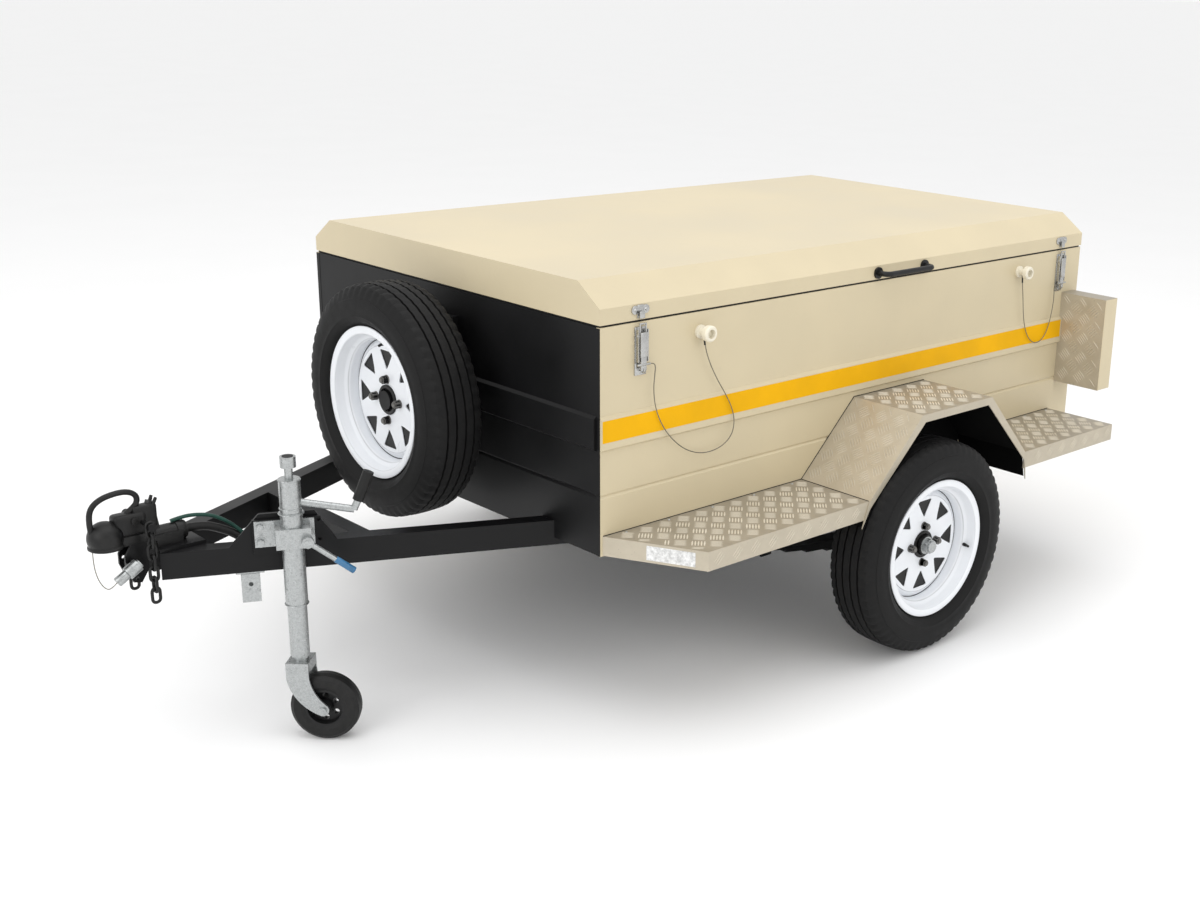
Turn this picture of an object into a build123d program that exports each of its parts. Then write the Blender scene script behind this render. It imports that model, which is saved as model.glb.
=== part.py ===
from build123d import *
import os
from math import cos, radians, sin, tan

# Lengths are in mm. +X points forward to the coupling, +Y to the left, +Z up.
# The origin is on the ground, below the middle of the trailer's outline.
# Places along X are first given from a datum just ahead of the axle, then moved by datum_x.

os.makedirs("parts", exist_ok=True)

# Coupling ball and the rear hinge set the trailer's reach from the datum
ball_from_datum = 1758
ball_radius = 25
socket_clearance = 0.3
housing_wall = 11.7
box_tail = 940
gate_pin_out = 10
gate_knuckle_radius = 8
nose_reach = ball_from_datum + ball_radius + socket_clearance + housing_wall
tail_reach = box_tail + gate_pin_out + gate_knuckle_radius
datum_x = (tail_reach - nose_reach) / 2
axle_setback = 8
axle_x = datum_x - axle_setback

# Clearances
running_gap = 0.3
panel_gap = 5
door_gap = 6

# Wheels
tyre_radius = 281
tyre_width = 150
tread_width = 120
carcass = 11
rim_seat_radius = 166
rim_flange_radius = 182.5
rim_half_width = 57
flange_thickness = 5
rim_sheet = 4
drop_centre_radius = 150
disc_out = 10
disc_sheet = 4
hub_hole_radius = 30
stud_circle_radius = 50
stud_radius = 6
nut_size = 10
nut_height = 15
window_count = 8
window_radius = 103
window_width = 36
window_depth = 32
wheel_outset = 193
axle_z = tyre_radius

# Box body
box_nose = 897
box_half_width = 587
wall = 12
skirt_z = 409
floor_z = 453
floor_sheet = 12
wall_top_z = 935
swage_low_z = 655
swage_high_z = 736
swage_out = 8
swage_slope = 6
crease_z = 550
crease_depth = 3
fold_z = 459
post_length = 80
post_inset = 2
post_return = 60

# Lid: a hollow shell with sloped sides and upright ends
lid_bottom_z = wall_top_z + panel_gap
lid_rim_height = 36
lid_height = 88
lid_slope_width = 75
lid_wall = 14

# Chassis under the floor
rail_width = 40
chassis_height = 50
skirt_clearance = 0.3

# Drawbar: two rails that meet behind the coupling
drawbar_top_z = 451
drawbar_height = 60
rail_nose_x = 1665
rail_nose_y = 47
rail_slant = 25.7
rail_length = 1140
brace_x = 1290
brace_width = 40
brace_height = 50
brace_half_length = 400
trim_reach = 900

# Running boards, mudguards and lamp housings
board_z = 457
board_width = 228
board_sheet = 3
board_lip = 46
lip_cut = 16
front_slope_inset = 33
front_board_nose = 890
front_board_corner = 777
rear_slope_outset = 116
rear_board_tail = -839
guard_clearance = 80
front_slope_run = 188
rear_slope_run = 173
guard_lip = 20
guard_tip_drop = 66
liner_sheet = 3
lamp_front = -860
lamp_rear = -920
lamp_width = 153
lamp_low_z = 539
lamp_high_z = 808
lamp_sheet = 3
lens_thickness = 8

# Springs and axle
spring_inset = 35
spring_width = 45
leaf_thickness = 7
leaf_count = 4
seat_height = 6
spring_half_length = 360
eye_rise = 42
eye_radius = 14
beam_size = 45
beam_inset = 80
spindle_radius = 15
hub_flange_radius = 64
hub_flange_thickness = 10
hub_barrel_radius = 34
hub_nose_radius = 26

# Jockey stand on the left rail
jack_along = 272
jack_out = 35
outer_tube_radius = 24
inner_tube_radius = 21
tube_wall = 2.7
outer_tube_low_z = 320
collar_z = 536
crank_head_z = 611
knob_z = 661
clamp_low_z = 459
clamp_high_z = 504
caster_trail = 52
jockey_radius = 78
jockey_width = 46
jockey_rim_radius = 44
fork_top_z = 190
fork_sheet = 5
fork_gap = 4

# Fittings on the left side
latch_places = (("front", 783), ("rear", -834))
latch_width = 50
knob_places = ((601, 889), (-634, 894))
knob_radius = 19
knob_height = 40
handle_front = -17
handle_rear = -203
handle_z = 957
lanyard_diameter = 2.4

# Spare wheel ahead of the box
spare_plane = 1048
spare_z = 681

# Chain
chain_wire = 7
chain_pitch = 26
chain_links = 7
link_slack = 1.2
chain_y = 52
chain_x = 1683
chain_top_z = 519

wheel_y = box_half_width + wheel_outset
board_out_y = box_half_width + board_width
lamp_out_y = box_half_width + lamp_width
spring_y = box_half_width - spring_inset
beam_half_length = wheel_y - beam_inset
front_board_tail = tyre_radius - axle_setback - front_slope_inset
rear_board_nose = -tyre_radius - axle_setback - rear_slope_outset
guard_top_z = axle_z + tyre_radius + guard_clearance
guard_top_front = front_board_tail - front_slope_run
guard_top_rear = rear_board_nose + rear_slope_run
box_front = datum_x + box_nose
box_rear = datum_x - box_tail
lid_top_z = lid_bottom_z + lid_height
chassis_low_z = floor_z - chassis_height
rail_along = Vector(-cos(radians(rail_slant)), sin(radians(rail_slant)), 0)
rail_outward = Vector(sin(radians(rail_slant)), cos(radians(rail_slant)), 0)
rail_nose = Vector(datum_x + rail_nose_x, rail_nose_y, 0)
jack_centre = rail_nose + rail_along * jack_along + rail_outward * jack_out


def side_plane(y):
    """A plane facing right, its X forward and its Y up."""
    return Plane(origin=(0, y, 0), x_dir=(1, 0, 0), z_dir=(0, -1, 0))


def cross_plane(x):
    """A plane facing forward, its X to the left and its Y up."""
    return Plane(origin=(x, 0, 0), x_dir=(0, 1, 0), z_dir=(1, 0, 0))


def rail_plane(out):
    """A plane along the left drawbar rail that faces outward, its X to the rear."""
    return Plane(origin=rail_nose + rail_outward * out, x_dir=rail_along, z_dir=rail_outward)


def wheel_plane(x, y, z, outward):
    """A plane through a wheel's axle, its X outward and its Y up."""
    facing = Vector(*outward).cross(Vector(0, 0, 1))
    return Plane(origin=(x, y, z), x_dir=outward, z_dir=facing)


def block(x_range, y_range, z_range, mode=Mode.ADD):
    """A box between two corners."""
    middle = [(low + high) / 2 for low, high in (x_range, y_range, z_range)]
    sides = [abs(high - low) for low, high in (x_range, y_range, z_range)]
    with Locations(tuple(middle)):
        Box(*sides, mode=mode)


def rod(start, end, radius, mode=Mode.ADD):
    """A round bar from one point to another."""
    way = Vector(*end) - Vector(*start)
    with BuildSketch(Plane(origin=start, z_dir=way)) as section:
        Circle(radius)
    extrude(section.sketch, amount=way.length, mode=mode)


def plate(plane, points, thickness, mode=Mode.ADD):
    """A flat plate with the given outline."""
    with BuildSketch(plane) as outline:
        Polygon(*points)
    extrude(outline.sketch, amount=thickness, mode=mode)


def keep(piece, name):
    """Name a finished piece and write it."""
    piece.part.label = name
    export_step(piece.part, f"parts/{name}.step")


def tyre_section(inner_gap=0.3):
    """Half of a tyre's section, with the air chamber open to the rim."""
    bead = rim_half_width - inner_gap
    seat = rim_seat_radius + inner_gap
    bulge = tyre_width / 2
    shoulder = tread_width / 2
    bulge_radius = (tyre_radius + rim_seat_radius) / 2
    sidewall = tyre_radius - rim_seat_radius
    for side in (1, -1):
        with BuildLine() as half:
            Polyline((0, tyre_radius), (side * shoulder * 0.75, tyre_radius - 2),
                     (side * shoulder, tyre_radius - 11))
            ThreePointArc((side * shoulder, tyre_radius - 11), (side * (bulge - 3), bulge_radius + sidewall * 26 / 115),
                          (side * bulge, bulge_radius))
            ThreePointArc((side * bulge, bulge_radius), (side * (bulge - 4), rim_flange_radius + sidewall * 3 / 23),
                          (side * bead, rim_flange_radius + 2))
            Polyline((side * bead, rim_flange_radius + 2), (side * bead, seat), (side * (bead - 12), seat),
                     (side * (bead - 12), rim_flange_radius + 4),
                     (side * (bulge - carcass - 2), rim_flange_radius + sidewall * 4 / 23),
                     (side * (bulge - carcass), bulge_radius),
                     (side * (bulge - carcass - 4), bulge_radius + sidewall * 5 / 23),
                     (side * (shoulder - carcass), tyre_radius - 20), (0, tyre_radius - carcass),
                     (0, tyre_radius))
        make_face(half.edges())


def rim_section():
    """A rim's barrel with its drop centre and two flanges."""
    flange = rim_half_width + flange_thickness
    seat = rim_seat_radius
    well = drop_centre_radius
    Polygon((rim_half_width, rim_flange_radius), (rim_half_width, seat), (36, seat - 3),
            (28, well), (-12, well), (-22, seat - 3), (-rim_half_width, seat),
            (-rim_half_width, rim_flange_radius), (-flange, rim_flange_radius),
            (-flange, rim_flange_radius - 6), (-flange + 1, seat - rim_sheet),
            (-23, seat - 3 - rim_sheet), (-13, well - rim_sheet), (29, well - rim_sheet),
            (37, seat - 3 - rim_sheet), (flange - 1, seat - rim_sheet),
            (flange, rim_flange_radius - 6), (flange, rim_flange_radius))


def disc_section():
    """A wheel disc, welded in the drop centre, with a rounded shoulder."""
    well = drop_centre_radius - rim_sheet
    Polygon((disc_out - 12, well), (disc_out - 12 + disc_sheet, well),
            (disc_out + disc_sheet, well - 16), (disc_out + disc_sheet, hub_hole_radius),
            (disc_out, hub_hole_radius), (disc_out, well - 19))


def rim_piece(plane):
    """A pressed steel wheel with windows that point at the hub."""
    spin_axis = Axis(plane.origin, plane.x_dir)
    with BuildSketch(plane) as section:
        rim_section()
        disc_section()
    revolve(section.sketch, axis=spin_axis)
    face = Plane(origin=plane.origin, x_dir=(0, 0, 1), z_dir=plane.x_dir)
    with BuildSketch(face.offset(disc_out - 1)) as holes:
        with PolarLocations(window_radius, window_count, start_angle=180 / window_count):
            Polygon((-window_depth / 2, 0), (window_depth / 2, window_width / 2),
                    (window_depth / 2, -window_width / 2))
        with PolarLocations(stud_circle_radius, 4):
            Circle(stud_radius + 1)
    extrude(holes.sketch, amount=disc_sheet + 2, mode=Mode.SUBTRACT)


def stud_nuts(plane, start, reach):
    """Four studs with hexagon nuts, standing on the wheel's disc."""
    face = Plane(origin=plane.origin, x_dir=(0, 0, 1), z_dir=plane.x_dir)
    with BuildSketch(face.offset(start)) as studs:
        with PolarLocations(stud_circle_radius, 4):
            Circle(stud_radius)
    extrude(studs.sketch, amount=reach)
    with BuildSketch(face.offset(disc_out + disc_sheet)) as nuts:
        with PolarLocations(stud_circle_radius, 4):
            RegularPolygon(nut_size, 6)
    extrude(nuts.sketch, amount=nut_height)


def arc_radii(points):
    """The radius of each arc that rounds a cord's route."""
    radii = []
    for before, corner, after in zip(points, points[1:], points[2:]):
        arriving = Vector(*corner) - Vector(*before)
        leaving = Vector(*after) - Vector(*corner)
        half_turn = radians(arriving.get_angle(leaving)) / 2
        radii.append(0.45 * min(arriving.length, leaving.length) / tan(half_turn))
    return radii


def cord_tube(name, points, diameter):
    """A round cord along straight runs joined by tangent arcs."""
    radii = arc_radii(points)
    print(name, "radii", [round(radius) for radius in radii])
    with BuildLine() as route:
        FilletPolyline(*points, radius=radii)
    start = Vector(*points[0])
    with BuildSketch(Plane(origin=start, z_dir=Vector(*points[1]) - start)) as section:
        Circle(diameter / 2)
    sweep(section.sketch, path=route.wire())
    print(name, "length", round(route.wire().length, 1))


# Drawbar rails run under the floor to the chassis side rails
rail_low_z = drawbar_top_z - drawbar_height
with BuildPart() as drawbar_rails:
    with BuildSketch(Plane.XY.offset(rail_low_z)):
        with BuildLine():
            nose_out = rail_nose
            tail_out = rail_nose + rail_along * rail_length
            inward = rail_outward * -rail_width
            corners = (nose_out, tail_out, tail_out + inward, nose_out + inward)
            Polyline(*[(corner.X, corner.Y) for corner in corners], close=True)
        make_face()
    extrude(amount=drawbar_height)
    mirror(about=Plane.XZ)
keep(drawbar_rails, "drawbar_rails")

# A brace between the rails, a nose plate that ties them and a foot for the coupling
foot_half_width = 46
foot_sheet = 8
foot_rear = 1560
foot_front = 1664
with BuildPart() as drawbar_crossmembers:
    block((datum_x + brace_x - brace_width, datum_x + brace_x), (-brace_half_length, brace_half_length),
          (drawbar_top_z - brace_height, drawbar_top_z))
    for side in (1, -1):
        with BuildSketch(Plane.XY.offset(rail_low_z)):
            with BuildLine():
                inner_nose = rail_nose - rail_outward * rail_width
                inner_tail = inner_nose + rail_along * rail_length
                Polyline((inner_nose.X, side * inner_nose.Y), (inner_tail.X, side * inner_tail.Y),
                         (inner_tail.X, side * trim_reach), (inner_nose.X, side * trim_reach),
                         close=True)
            make_face()
        extrude(amount=drawbar_height, mode=Mode.SUBTRACT)
    block((datum_x + foot_rear, datum_x + foot_front), (-foot_half_width, foot_half_width),
          (drawbar_top_z, drawbar_top_z + foot_sheet))
keep(drawbar_crossmembers, "drawbar_crossmembers")

# Cast coupling: a ball housing, a round shank and a saddle on the foot plate
ball_x = datum_x + ball_from_datum
ball_z = 496
housing_radius = ball_radius + socket_clearance + housing_wall
housing_low_z = 474
shank_radius = 19
shank_z = drawbar_top_z + foot_sheet + shank_radius + 1
shank_rear = 1585
with BuildPart() as coupler_body:
    with BuildSketch(cross_plane(datum_x + shank_rear)):
        with Locations((0, shank_z)):
            Circle(shank_radius)
    extrude(amount=ball_from_datum - shank_rear)
    block((datum_x + 1600, datum_x + 1672), (-26, 26),
          (drawbar_top_z + foot_sheet, shank_z + 6))
    plate(side_plane(9), [(datum_x + 1640, shank_z), (datum_x + 1652, ball_z + 61),
          (datum_x + 1662, ball_z + 64), (datum_x + 1672, ball_z + 35), (datum_x + 1700, ball_z + 40),
          (datum_x + 1738, ball_z + 25), (datum_x + 1738, shank_z)], 18)
    with Locations((ball_x, 0, ball_z)):
        Sphere(housing_radius)
    with BuildSketch(Plane.XY.offset(housing_low_z)):
        with Locations((ball_x, 0)):
            Circle(housing_radius - 2)
    extrude(amount=ball_z - housing_low_z)
    block((ball_x - 100, ball_x + 100), (-100, 100), (ball_z - 100, housing_low_z),
          mode=Mode.SUBTRACT)
    with Locations((ball_x, 0, ball_z)):
        Sphere(ball_radius + socket_clearance, mode=Mode.SUBTRACT)
    with BuildSketch(Plane.XY.offset(housing_low_z - 1)):
        with Locations((ball_x, 0)):
            Circle(ball_radius + socket_clearance)
    extrude(amount=ball_z - housing_low_z + 1, mode=Mode.SUBTRACT)
keep(coupler_body, "coupler_body")

# Loop handle over the ball housing
handle_rod = 6
with BuildPart() as coupler_handle:
    with BuildLine() as loop:
        FilletPolyline((datum_x + 1786, 0, ball_z + 17), (datum_x + 1787, 0, ball_z + 57),
                       (datum_x + 1752, 0, ball_z + 89), (datum_x + 1698, 0, ball_z + 91),
                       (datum_x + 1684, 0, ball_z + 65), (datum_x + 1712, 0, ball_z + 40),
                       (datum_x + 1714, 0, ball_z + 31), radius=9)
    with BuildSketch(Plane(origin=(datum_x + 1786, 0, ball_z + 17), z_dir=(1, 0, 40))):
        Circle(handle_rod)
    sweep(path=loop.wire())
    add(coupler_body.part, mode=Mode.SUBTRACT)
keep(coupler_handle, "coupler_handle")

# Perforated bracket under the coupling, with a sleeve for the lock pin
pin_radius = 10
pin_y = 38
pin_top = Vector(datum_x + 1703.6, pin_y, 439.6)
pin_low = Vector(datum_x + 1757.6, pin_y, 406.6)
pin_way = (pin_low - pin_top).normalized()
bracket_sheet = 6
hook_bolt_radius = 4.5
with BuildPart() as chain_bracket:
    for side in (1, -1):
        outline = [(datum_x + 1678, shank_z - 4), (datum_x + 1712, shank_z - 4),
                   (datum_x + 1728, ball_z - 46), (datum_x + 1728, ball_z - 70), (datum_x + 1714, ball_z - 106),
                   (datum_x + 1696, ball_z - 110), (datum_x + 1678, ball_z - 82)]
        plate(side_plane(side * 16 + bracket_sheet / 2), outline, bracket_sheet)
    for hole_x, hole_z in ((1718, ball_z - 56), (1706, ball_z - 98)):
        rod((datum_x + hole_x, -40, hole_z), (datum_x + hole_x, 40, hole_z), 4, Mode.SUBTRACT)
    block((datum_x + 1678, datum_x + 1684), (-16, 16), (ball_z - 82, shank_z - shank_radius - 1))
    rod((datum_x + chain_x, -chain_y - 14, chain_top_z), (datum_x + chain_x, chain_y + 14, chain_top_z),
        hook_bolt_radius)
    for side in (1, -1):
        rod((datum_x + chain_x, side * (chain_y + 8), chain_top_z),
            (datum_x + chain_x, side * (chain_y + 14), chain_top_z), 9)
    block((datum_x + 1712, datum_x + 1728), (16, pin_y), (ball_z - 78, ball_z - 58))
    rod(pin_top + pin_way * 8, pin_top + pin_way * 34, pin_radius + 4)
    rod(pin_top - pin_way * 4, pin_low, pin_radius + running_gap, Mode.SUBTRACT)
    add(coupler_body.part, mode=Mode.SUBTRACT)
keep(chain_bracket, "chain_bracket")

# Lock pin with a small eye at its low end
with BuildPart() as lock_pin:
    rod(pin_top + pin_way * 2, pin_low, pin_radius)
keep(lock_pin, "lock_pin")


def chain_link(centre, across):
    """One link: a hexagon wire around a long ring, upright and turned about Z."""
    half_long = chain_pitch / 2 + chain_wire / 2
    half_wide = chain_wire * 1.25
    turn = Vector(across[0], across[1], 0)
    ring = ((0, half_long), (0.7 * half_wide, half_long - 0.3 * half_wide),
            (half_wide, half_long - half_wide), (half_wide, half_wide - half_long),
            (0.7 * half_wide, 0.3 * half_wide - half_long), (0, -half_long),
            (-0.7 * half_wide, 0.3 * half_wide - half_long), (-half_wide, half_wide - half_long),
            (-half_wide, half_long - half_wide), (-0.7 * half_wide, half_long - 0.3 * half_wide))
    corners = [centre + turn * wide + Vector(0, 0, high) for wide, high in ring]
    middle = (corners[2] + corners[3]) * 0.5
    points = [middle] + corners[3:] + corners[:3] + [middle]
    with BuildLine() as path:
        Polyline(*points)
    with BuildSketch(Plane(origin=middle, z_dir=(0, 0, -1))) as section:
        RegularPolygon(chain_wire / 2, 6)
    sweep(section.sketch, path=path.wire(), transition=Transition.RIGHT)


# Safety chains: links that hang through each other from the bracket's two bolts
with BuildPart() as safety_chains:
    for side in (1, -1):
        for number in range(chain_links):
            first_drop = chain_pitch / 2 - hook_bolt_radius - link_slack
            drop = first_drop + number * (chain_pitch - link_slack)
            centre = Vector(datum_x + chain_x, side * chain_y, chain_top_z - drop)
            chain_link(centre, (1, 0) if number % 2 == 0 else (0, 1))
keep(safety_chains, "safety_chains")

# Electric cable and brake hose, from the coupling to the left rail's inner face
cable_radius = 4
hose_radius = 8
cable_z = drawbar_top_z - 14
with BuildPart() as brake_hose:
    with BuildLine() as hose_path:
        FilletPolyline((datum_x + shank_rear, 0, shank_z), (datum_x + 1545, 6, shank_z),
                       (datum_x + 1490, 32, drawbar_top_z + 2), (datum_x + 1462, 58, cable_z - 16),
                       (datum_x + 1452, 98, cable_z - 18), radius=18)
    with BuildSketch(cross_plane(datum_x + shank_rear)):
        with Locations((0, shank_z)):
            Circle(hose_radius)
    sweep(path=hose_path.wire())
    add(drawbar_rails.part, mode=Mode.SUBTRACT)
    add(drawbar_crossmembers.part, mode=Mode.SUBTRACT)
keep(brake_hose, "brake_hose")

with BuildPart() as wiring_cable:
    with BuildLine() as cable_path:
        FilletPolyline((datum_x + shank_rear + 30, 0, shank_z + shank_radius + cable_radius),
                       (datum_x + 1590, 2, shank_z + shank_radius + cable_radius + 4),
                       (datum_x + 1540, 10, shank_z + 26), (datum_x + 1482, 36, drawbar_top_z + 14),
                       (datum_x + 1458, 64, cable_z), (datum_x + 1456, 100, cable_z), radius=14)
    with BuildSketch(Plane(origin=(datum_x + shank_rear + 30, 0, shank_z + shank_radius + cable_radius),
                           z_dir=(-25, 2, 4))):
        Circle(cable_radius)
    sweep(path=cable_path.wire())
    add(drawbar_rails.part, mode=Mode.SUBTRACT)
    add(brake_hose.part, mode=Mode.SUBTRACT)
    add(coupler_body.part, mode=Mode.SUBTRACT)
keep(wiring_cable, "wiring_cable")

# Jack bracket: a tapered plate standing on the left rail
gusset_sheet = 8
gusset_top_z = 523
with BuildPart() as jack_bracket:
    plate(rail_plane(-gusset_sheet), [(140, drawbar_top_z), (205, gusset_top_z),
          (322, gusset_top_z), (368, drawbar_top_z)], gusset_sheet)
    plate(rail_plane(0), [(190, drawbar_top_z - 18), (190, clamp_high_z + 8),
          (334, clamp_high_z + 8), (334, drawbar_top_z - 18)], gusset_sheet)
    for along, high in ((206, clamp_high_z), (206, clamp_low_z), (330, clamp_high_z),
                        (330, clamp_low_z)):
        centre = rail_nose + rail_along * along + Vector(0, 0, high)
        rod(centre, centre + rail_outward * gusset_sheet, 4.5, Mode.SUBTRACT)
keep(jack_bracket, "jack_bracket")

# Jack clamp: a back plate with a channel that grips the outer tube
channel_start = 236
channel_end = 310
channel_out = 64
with BuildPart() as jack_clamp:
    plate(rail_plane(gusset_sheet), [(194, clamp_low_z - 8), (194, clamp_high_z + 6),
          (320, clamp_high_z + 6), (320, clamp_low_z - 8)], 5)
    plate(rail_plane(gusset_sheet + 5), [(channel_start, clamp_low_z), (channel_start, clamp_high_z),
          (channel_end, clamp_high_z), (channel_end, clamp_low_z)], channel_out - gusset_sheet - 5)
    rod(jack_centre + Vector(0, 0, clamp_low_z - 30), jack_centre + Vector(0, 0, clamp_high_z + 30),
        outer_tube_radius + running_gap, Mode.SUBTRACT)
    for along, high in ((206, clamp_high_z - 8), (206, clamp_low_z + 2)):
        centre = rail_nose + rail_along * along + rail_outward * (gusset_sheet + 5)
        centre = centre + Vector(0, 0, high)
        rod(centre, centre + rail_outward * 7, 8)
keep(jack_clamp, "jack_clamp")

# Clamp lever with its bolt head
lever_pivot = rail_nose + rail_along * 301 + rail_outward * channel_out + Vector(0, 0, 475)
lever_tip = rail_nose + rail_along * 394 + rail_outward * 70 + Vector(0, 0, 401)
with BuildPart() as jack_clamp_lever:
    rod(lever_pivot, lever_pivot + rail_outward * 12, 13)
    rod(lever_pivot + rail_outward * 6, lever_tip, 6)
    rod(lever_pivot, lever_pivot - rail_outward * 30, 25, Mode.SUBTRACT)
keep(jack_clamp_lever, "jack_clamp_lever")

# Socket for a prop stand, under the left rail
socket_centre = rail_nose + rail_along * 180 + rail_outward * -20
socket_half = 20
socket_wall = 3
socket_low_z = 321
with BuildPart() as prop_socket:
    socket_plane = Plane(origin=socket_centre + Vector(0, 0, socket_low_z), x_dir=rail_along,
                         z_dir=(0, 0, 1))
    with BuildSketch(socket_plane):
        Rectangle(2 * socket_half, 2 * socket_half)
        Rectangle(2 * (socket_half - socket_wall), 2 * (socket_half - socket_wall),
                  mode=Mode.SUBTRACT)
    extrude(amount=rail_low_z - 4 - socket_low_z)
    with BuildSketch(Plane(origin=socket_centre + Vector(0, 0, rail_low_z - 4), x_dir=rail_along,
                           z_dir=(0, 0, 1))):
        Rectangle(60, 36)
    extrude(amount=4)
    hole_start = socket_centre + Vector(0, 0, 363)
    rod(hole_start, hole_start + rail_outward * 40, 5, Mode.SUBTRACT)
keep(prop_socket, "prop_socket")

# Chassis: two side rails, a rear rail and two cross rails below the floor
chassis_out_y = box_half_width - wall - skirt_clearance
chassis_in_y = chassis_out_y - rail_width
cross_places = ((box_rear + wall + 8, box_rear + wall + 8 + rail_width),
                (datum_x - 330, datum_x - 330 + rail_width), (datum_x + 330, datum_x + 330 + rail_width))
with BuildPart() as chassis_frame:
    for side in (1, -1):
        block((box_rear + wall + 8, box_front - wall - skirt_clearance),
              (side * chassis_in_y, side * chassis_out_y), (chassis_low_z, floor_z))
    for low, high in cross_places:
        block((low, high), (-chassis_in_y, chassis_in_y), (chassis_low_z, floor_z))
    block((box_front - wall - skirt_clearance - rail_width, box_front - wall - skirt_clearance),
          (-chassis_in_y, chassis_in_y), (chassis_low_z, floor_z))
    add(drawbar_rails.part, mode=Mode.SUBTRACT)
keep(chassis_frame, "chassis_frame")

with BuildPart() as floor_pan:
    block((box_rear + wall + 8, box_front - wall - skirt_clearance),
          (-chassis_out_y, chassis_out_y), (floor_z, floor_z + floor_sheet))
keep(floor_pan, "floor_pan")


def panel_outline(outside, inside):
    """A wall's section: a raised band, a crease and a straight inner face."""
    return [(outside, skirt_z), (outside, crease_z - 5), (outside - crease_depth, crease_z),
            (outside, crease_z + 5), (outside, swage_low_z), (outside + swage_out, swage_low_z + swage_slope),
            (outside + swage_out, swage_high_z - swage_slope), (outside, swage_high_z),
            (outside, wall_top_z), (inside, wall_top_z), (inside, skirt_z)]


# Side walls, from the front wall to the rear posts
side_rear = box_rear + post_length
for name, side in (("side_panel_left", 1), ("side_panel_right", -1)):
    with BuildPart() as side_panel:
        outline = panel_outline(box_half_width, box_half_width - wall)
        mirrored = [(side * across, high) for across, high in outline]
        plate(cross_plane(side_rear), mirrored, box_front - side_rear)
    keep(side_panel, name)

# Front wall between the side walls, notched for the drawbar
with BuildPart() as front_panel:
    across = box_half_width - wall
    plate(side_plane(across), panel_outline(box_front, box_front - wall), 2 * across)
    block((box_front - 2, box_front + 20), (-across, across), (skirt_z - 1, fold_z),
          mode=Mode.SUBTRACT)
    for side in (1, -1):
        with BuildSketch(Plane.XY.offset(rail_low_z)):
            with BuildLine():
                inner = rail_nose - rail_outward * (rail_width + 1)
                outer = rail_nose + rail_outward
                far_inner = inner + rail_along * rail_length
                far_outer = outer + rail_along * rail_length
                Polyline((inner.X, side * inner.Y), (far_inner.X, side * far_inner.Y),
                         (far_outer.X, side * far_outer.Y), (outer.X, side * outer.Y), close=True)
            make_face()
        extrude(amount=drawbar_height, mode=Mode.SUBTRACT)
keep(front_panel, "front_panel")

# Rear corner posts, each a folded angle
with BuildPart() as corner_posts:
    for side in (1, -1):
        outside = side * (box_half_width - post_inset)
        inside = side * (box_half_width - wall)
        block((box_rear, side_rear), (inside, outside), (skirt_z, wall_top_z))
        block((box_rear, box_rear + wall), (inside - side * post_return, inside),
              (skirt_z, wall_top_z))
keep(corner_posts, "corner_posts")

# Running boards: a tread plate folded down at its free edges
board_inner_y = box_half_width
with BuildPart() as front_boards:
    for side in (1, -1):
        outer = [(datum_x + front_board_tail, side * board_inner_y),
                 (datum_x + front_board_tail, side * board_out_y),
                 (datum_x + front_board_corner, side * board_out_y),
                 (datum_x + front_board_nose, side * board_inner_y)]
        under = [(datum_x + front_board_tail - 9, side * (board_inner_y - 9)),
                 (datum_x + front_board_tail - 9, side * (board_out_y - board_sheet)),
                 (datum_x + front_board_corner - board_sheet, side * (board_out_y - board_sheet)),
                 (datum_x + front_board_nose - board_sheet, side * (board_inner_y - 9))]
        plate(Plane.XY.offset(board_z - board_lip), outer, board_lip)
        plate(Plane.XY.offset(board_z - board_lip - 1), under, board_lip + 1 - board_sheet,
              Mode.SUBTRACT)
        cut_back = [(datum_x + front_board_tail - 1, board_z - board_sheet),
                    (datum_x + front_board_tail, board_z - board_sheet),
                    (datum_x + front_board_tail + lip_cut, board_z - board_lip - 1),
                    (datum_x + front_board_tail - 1, board_z - board_lip - 1)]
        plate(side_plane(max(side * (board_out_y - 20), side * (board_out_y + 1))), cut_back, 21,
              Mode.SUBTRACT)
keep(front_boards, "front_boards")

with BuildPart() as rear_boards:
    for side in (1, -1):
        block((datum_x + rear_board_tail, datum_x + rear_board_nose),
              (side * board_inner_y, side * board_out_y), (board_z - board_lip, board_z))
        block((datum_x + rear_board_tail + board_sheet, datum_x + rear_board_nose + 9),
              (side * (board_inner_y - 9), side * (board_out_y - board_sheet)),
              (board_z - board_lip - 1, board_z - board_sheet), mode=Mode.SUBTRACT)
keep(rear_boards, "rear_boards")

# Mudguards: a folded plate over the wheel, with a lip that ends in points
guard_front = datum_x + front_board_tail
guard_rear = datum_x + rear_board_nose
crown_front = datum_x + guard_top_front
crown_rear = datum_x + guard_top_rear
guard_outside = [(guard_front, board_z), (crown_front, guard_top_z),
                 (crown_rear, guard_top_z), (guard_rear, board_z)]
guard_inside = [(guard_rear + 4.2, board_z), (crown_rear + 1.2, guard_top_z - board_sheet),
                (crown_front - 1.2, guard_top_z - board_sheet), (guard_front - 4.2, board_z)]
lip_inside = [(guard_rear - 10, board_z - guard_tip_drop - 12),
              (guard_rear + 3, board_z - guard_lip), (crown_rear + 12, guard_top_z - guard_lip),
              (crown_front - 12, guard_top_z - guard_lip), (guard_front - 3, board_z - guard_lip),
              (guard_front + 23, board_z - guard_tip_drop)]
with BuildPart() as mudguards:
    for side in (1, -1):
        lip_face = side * (board_out_y + board_sheet)
        plate(side_plane(max(side * board_inner_y, lip_face)), guard_outside + guard_inside,
              board_out_y + board_sheet - board_inner_y)
        plate(side_plane(max(side * board_out_y, lip_face)), guard_outside + lip_inside, board_sheet)
keep(mudguards, "mudguards")

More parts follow.
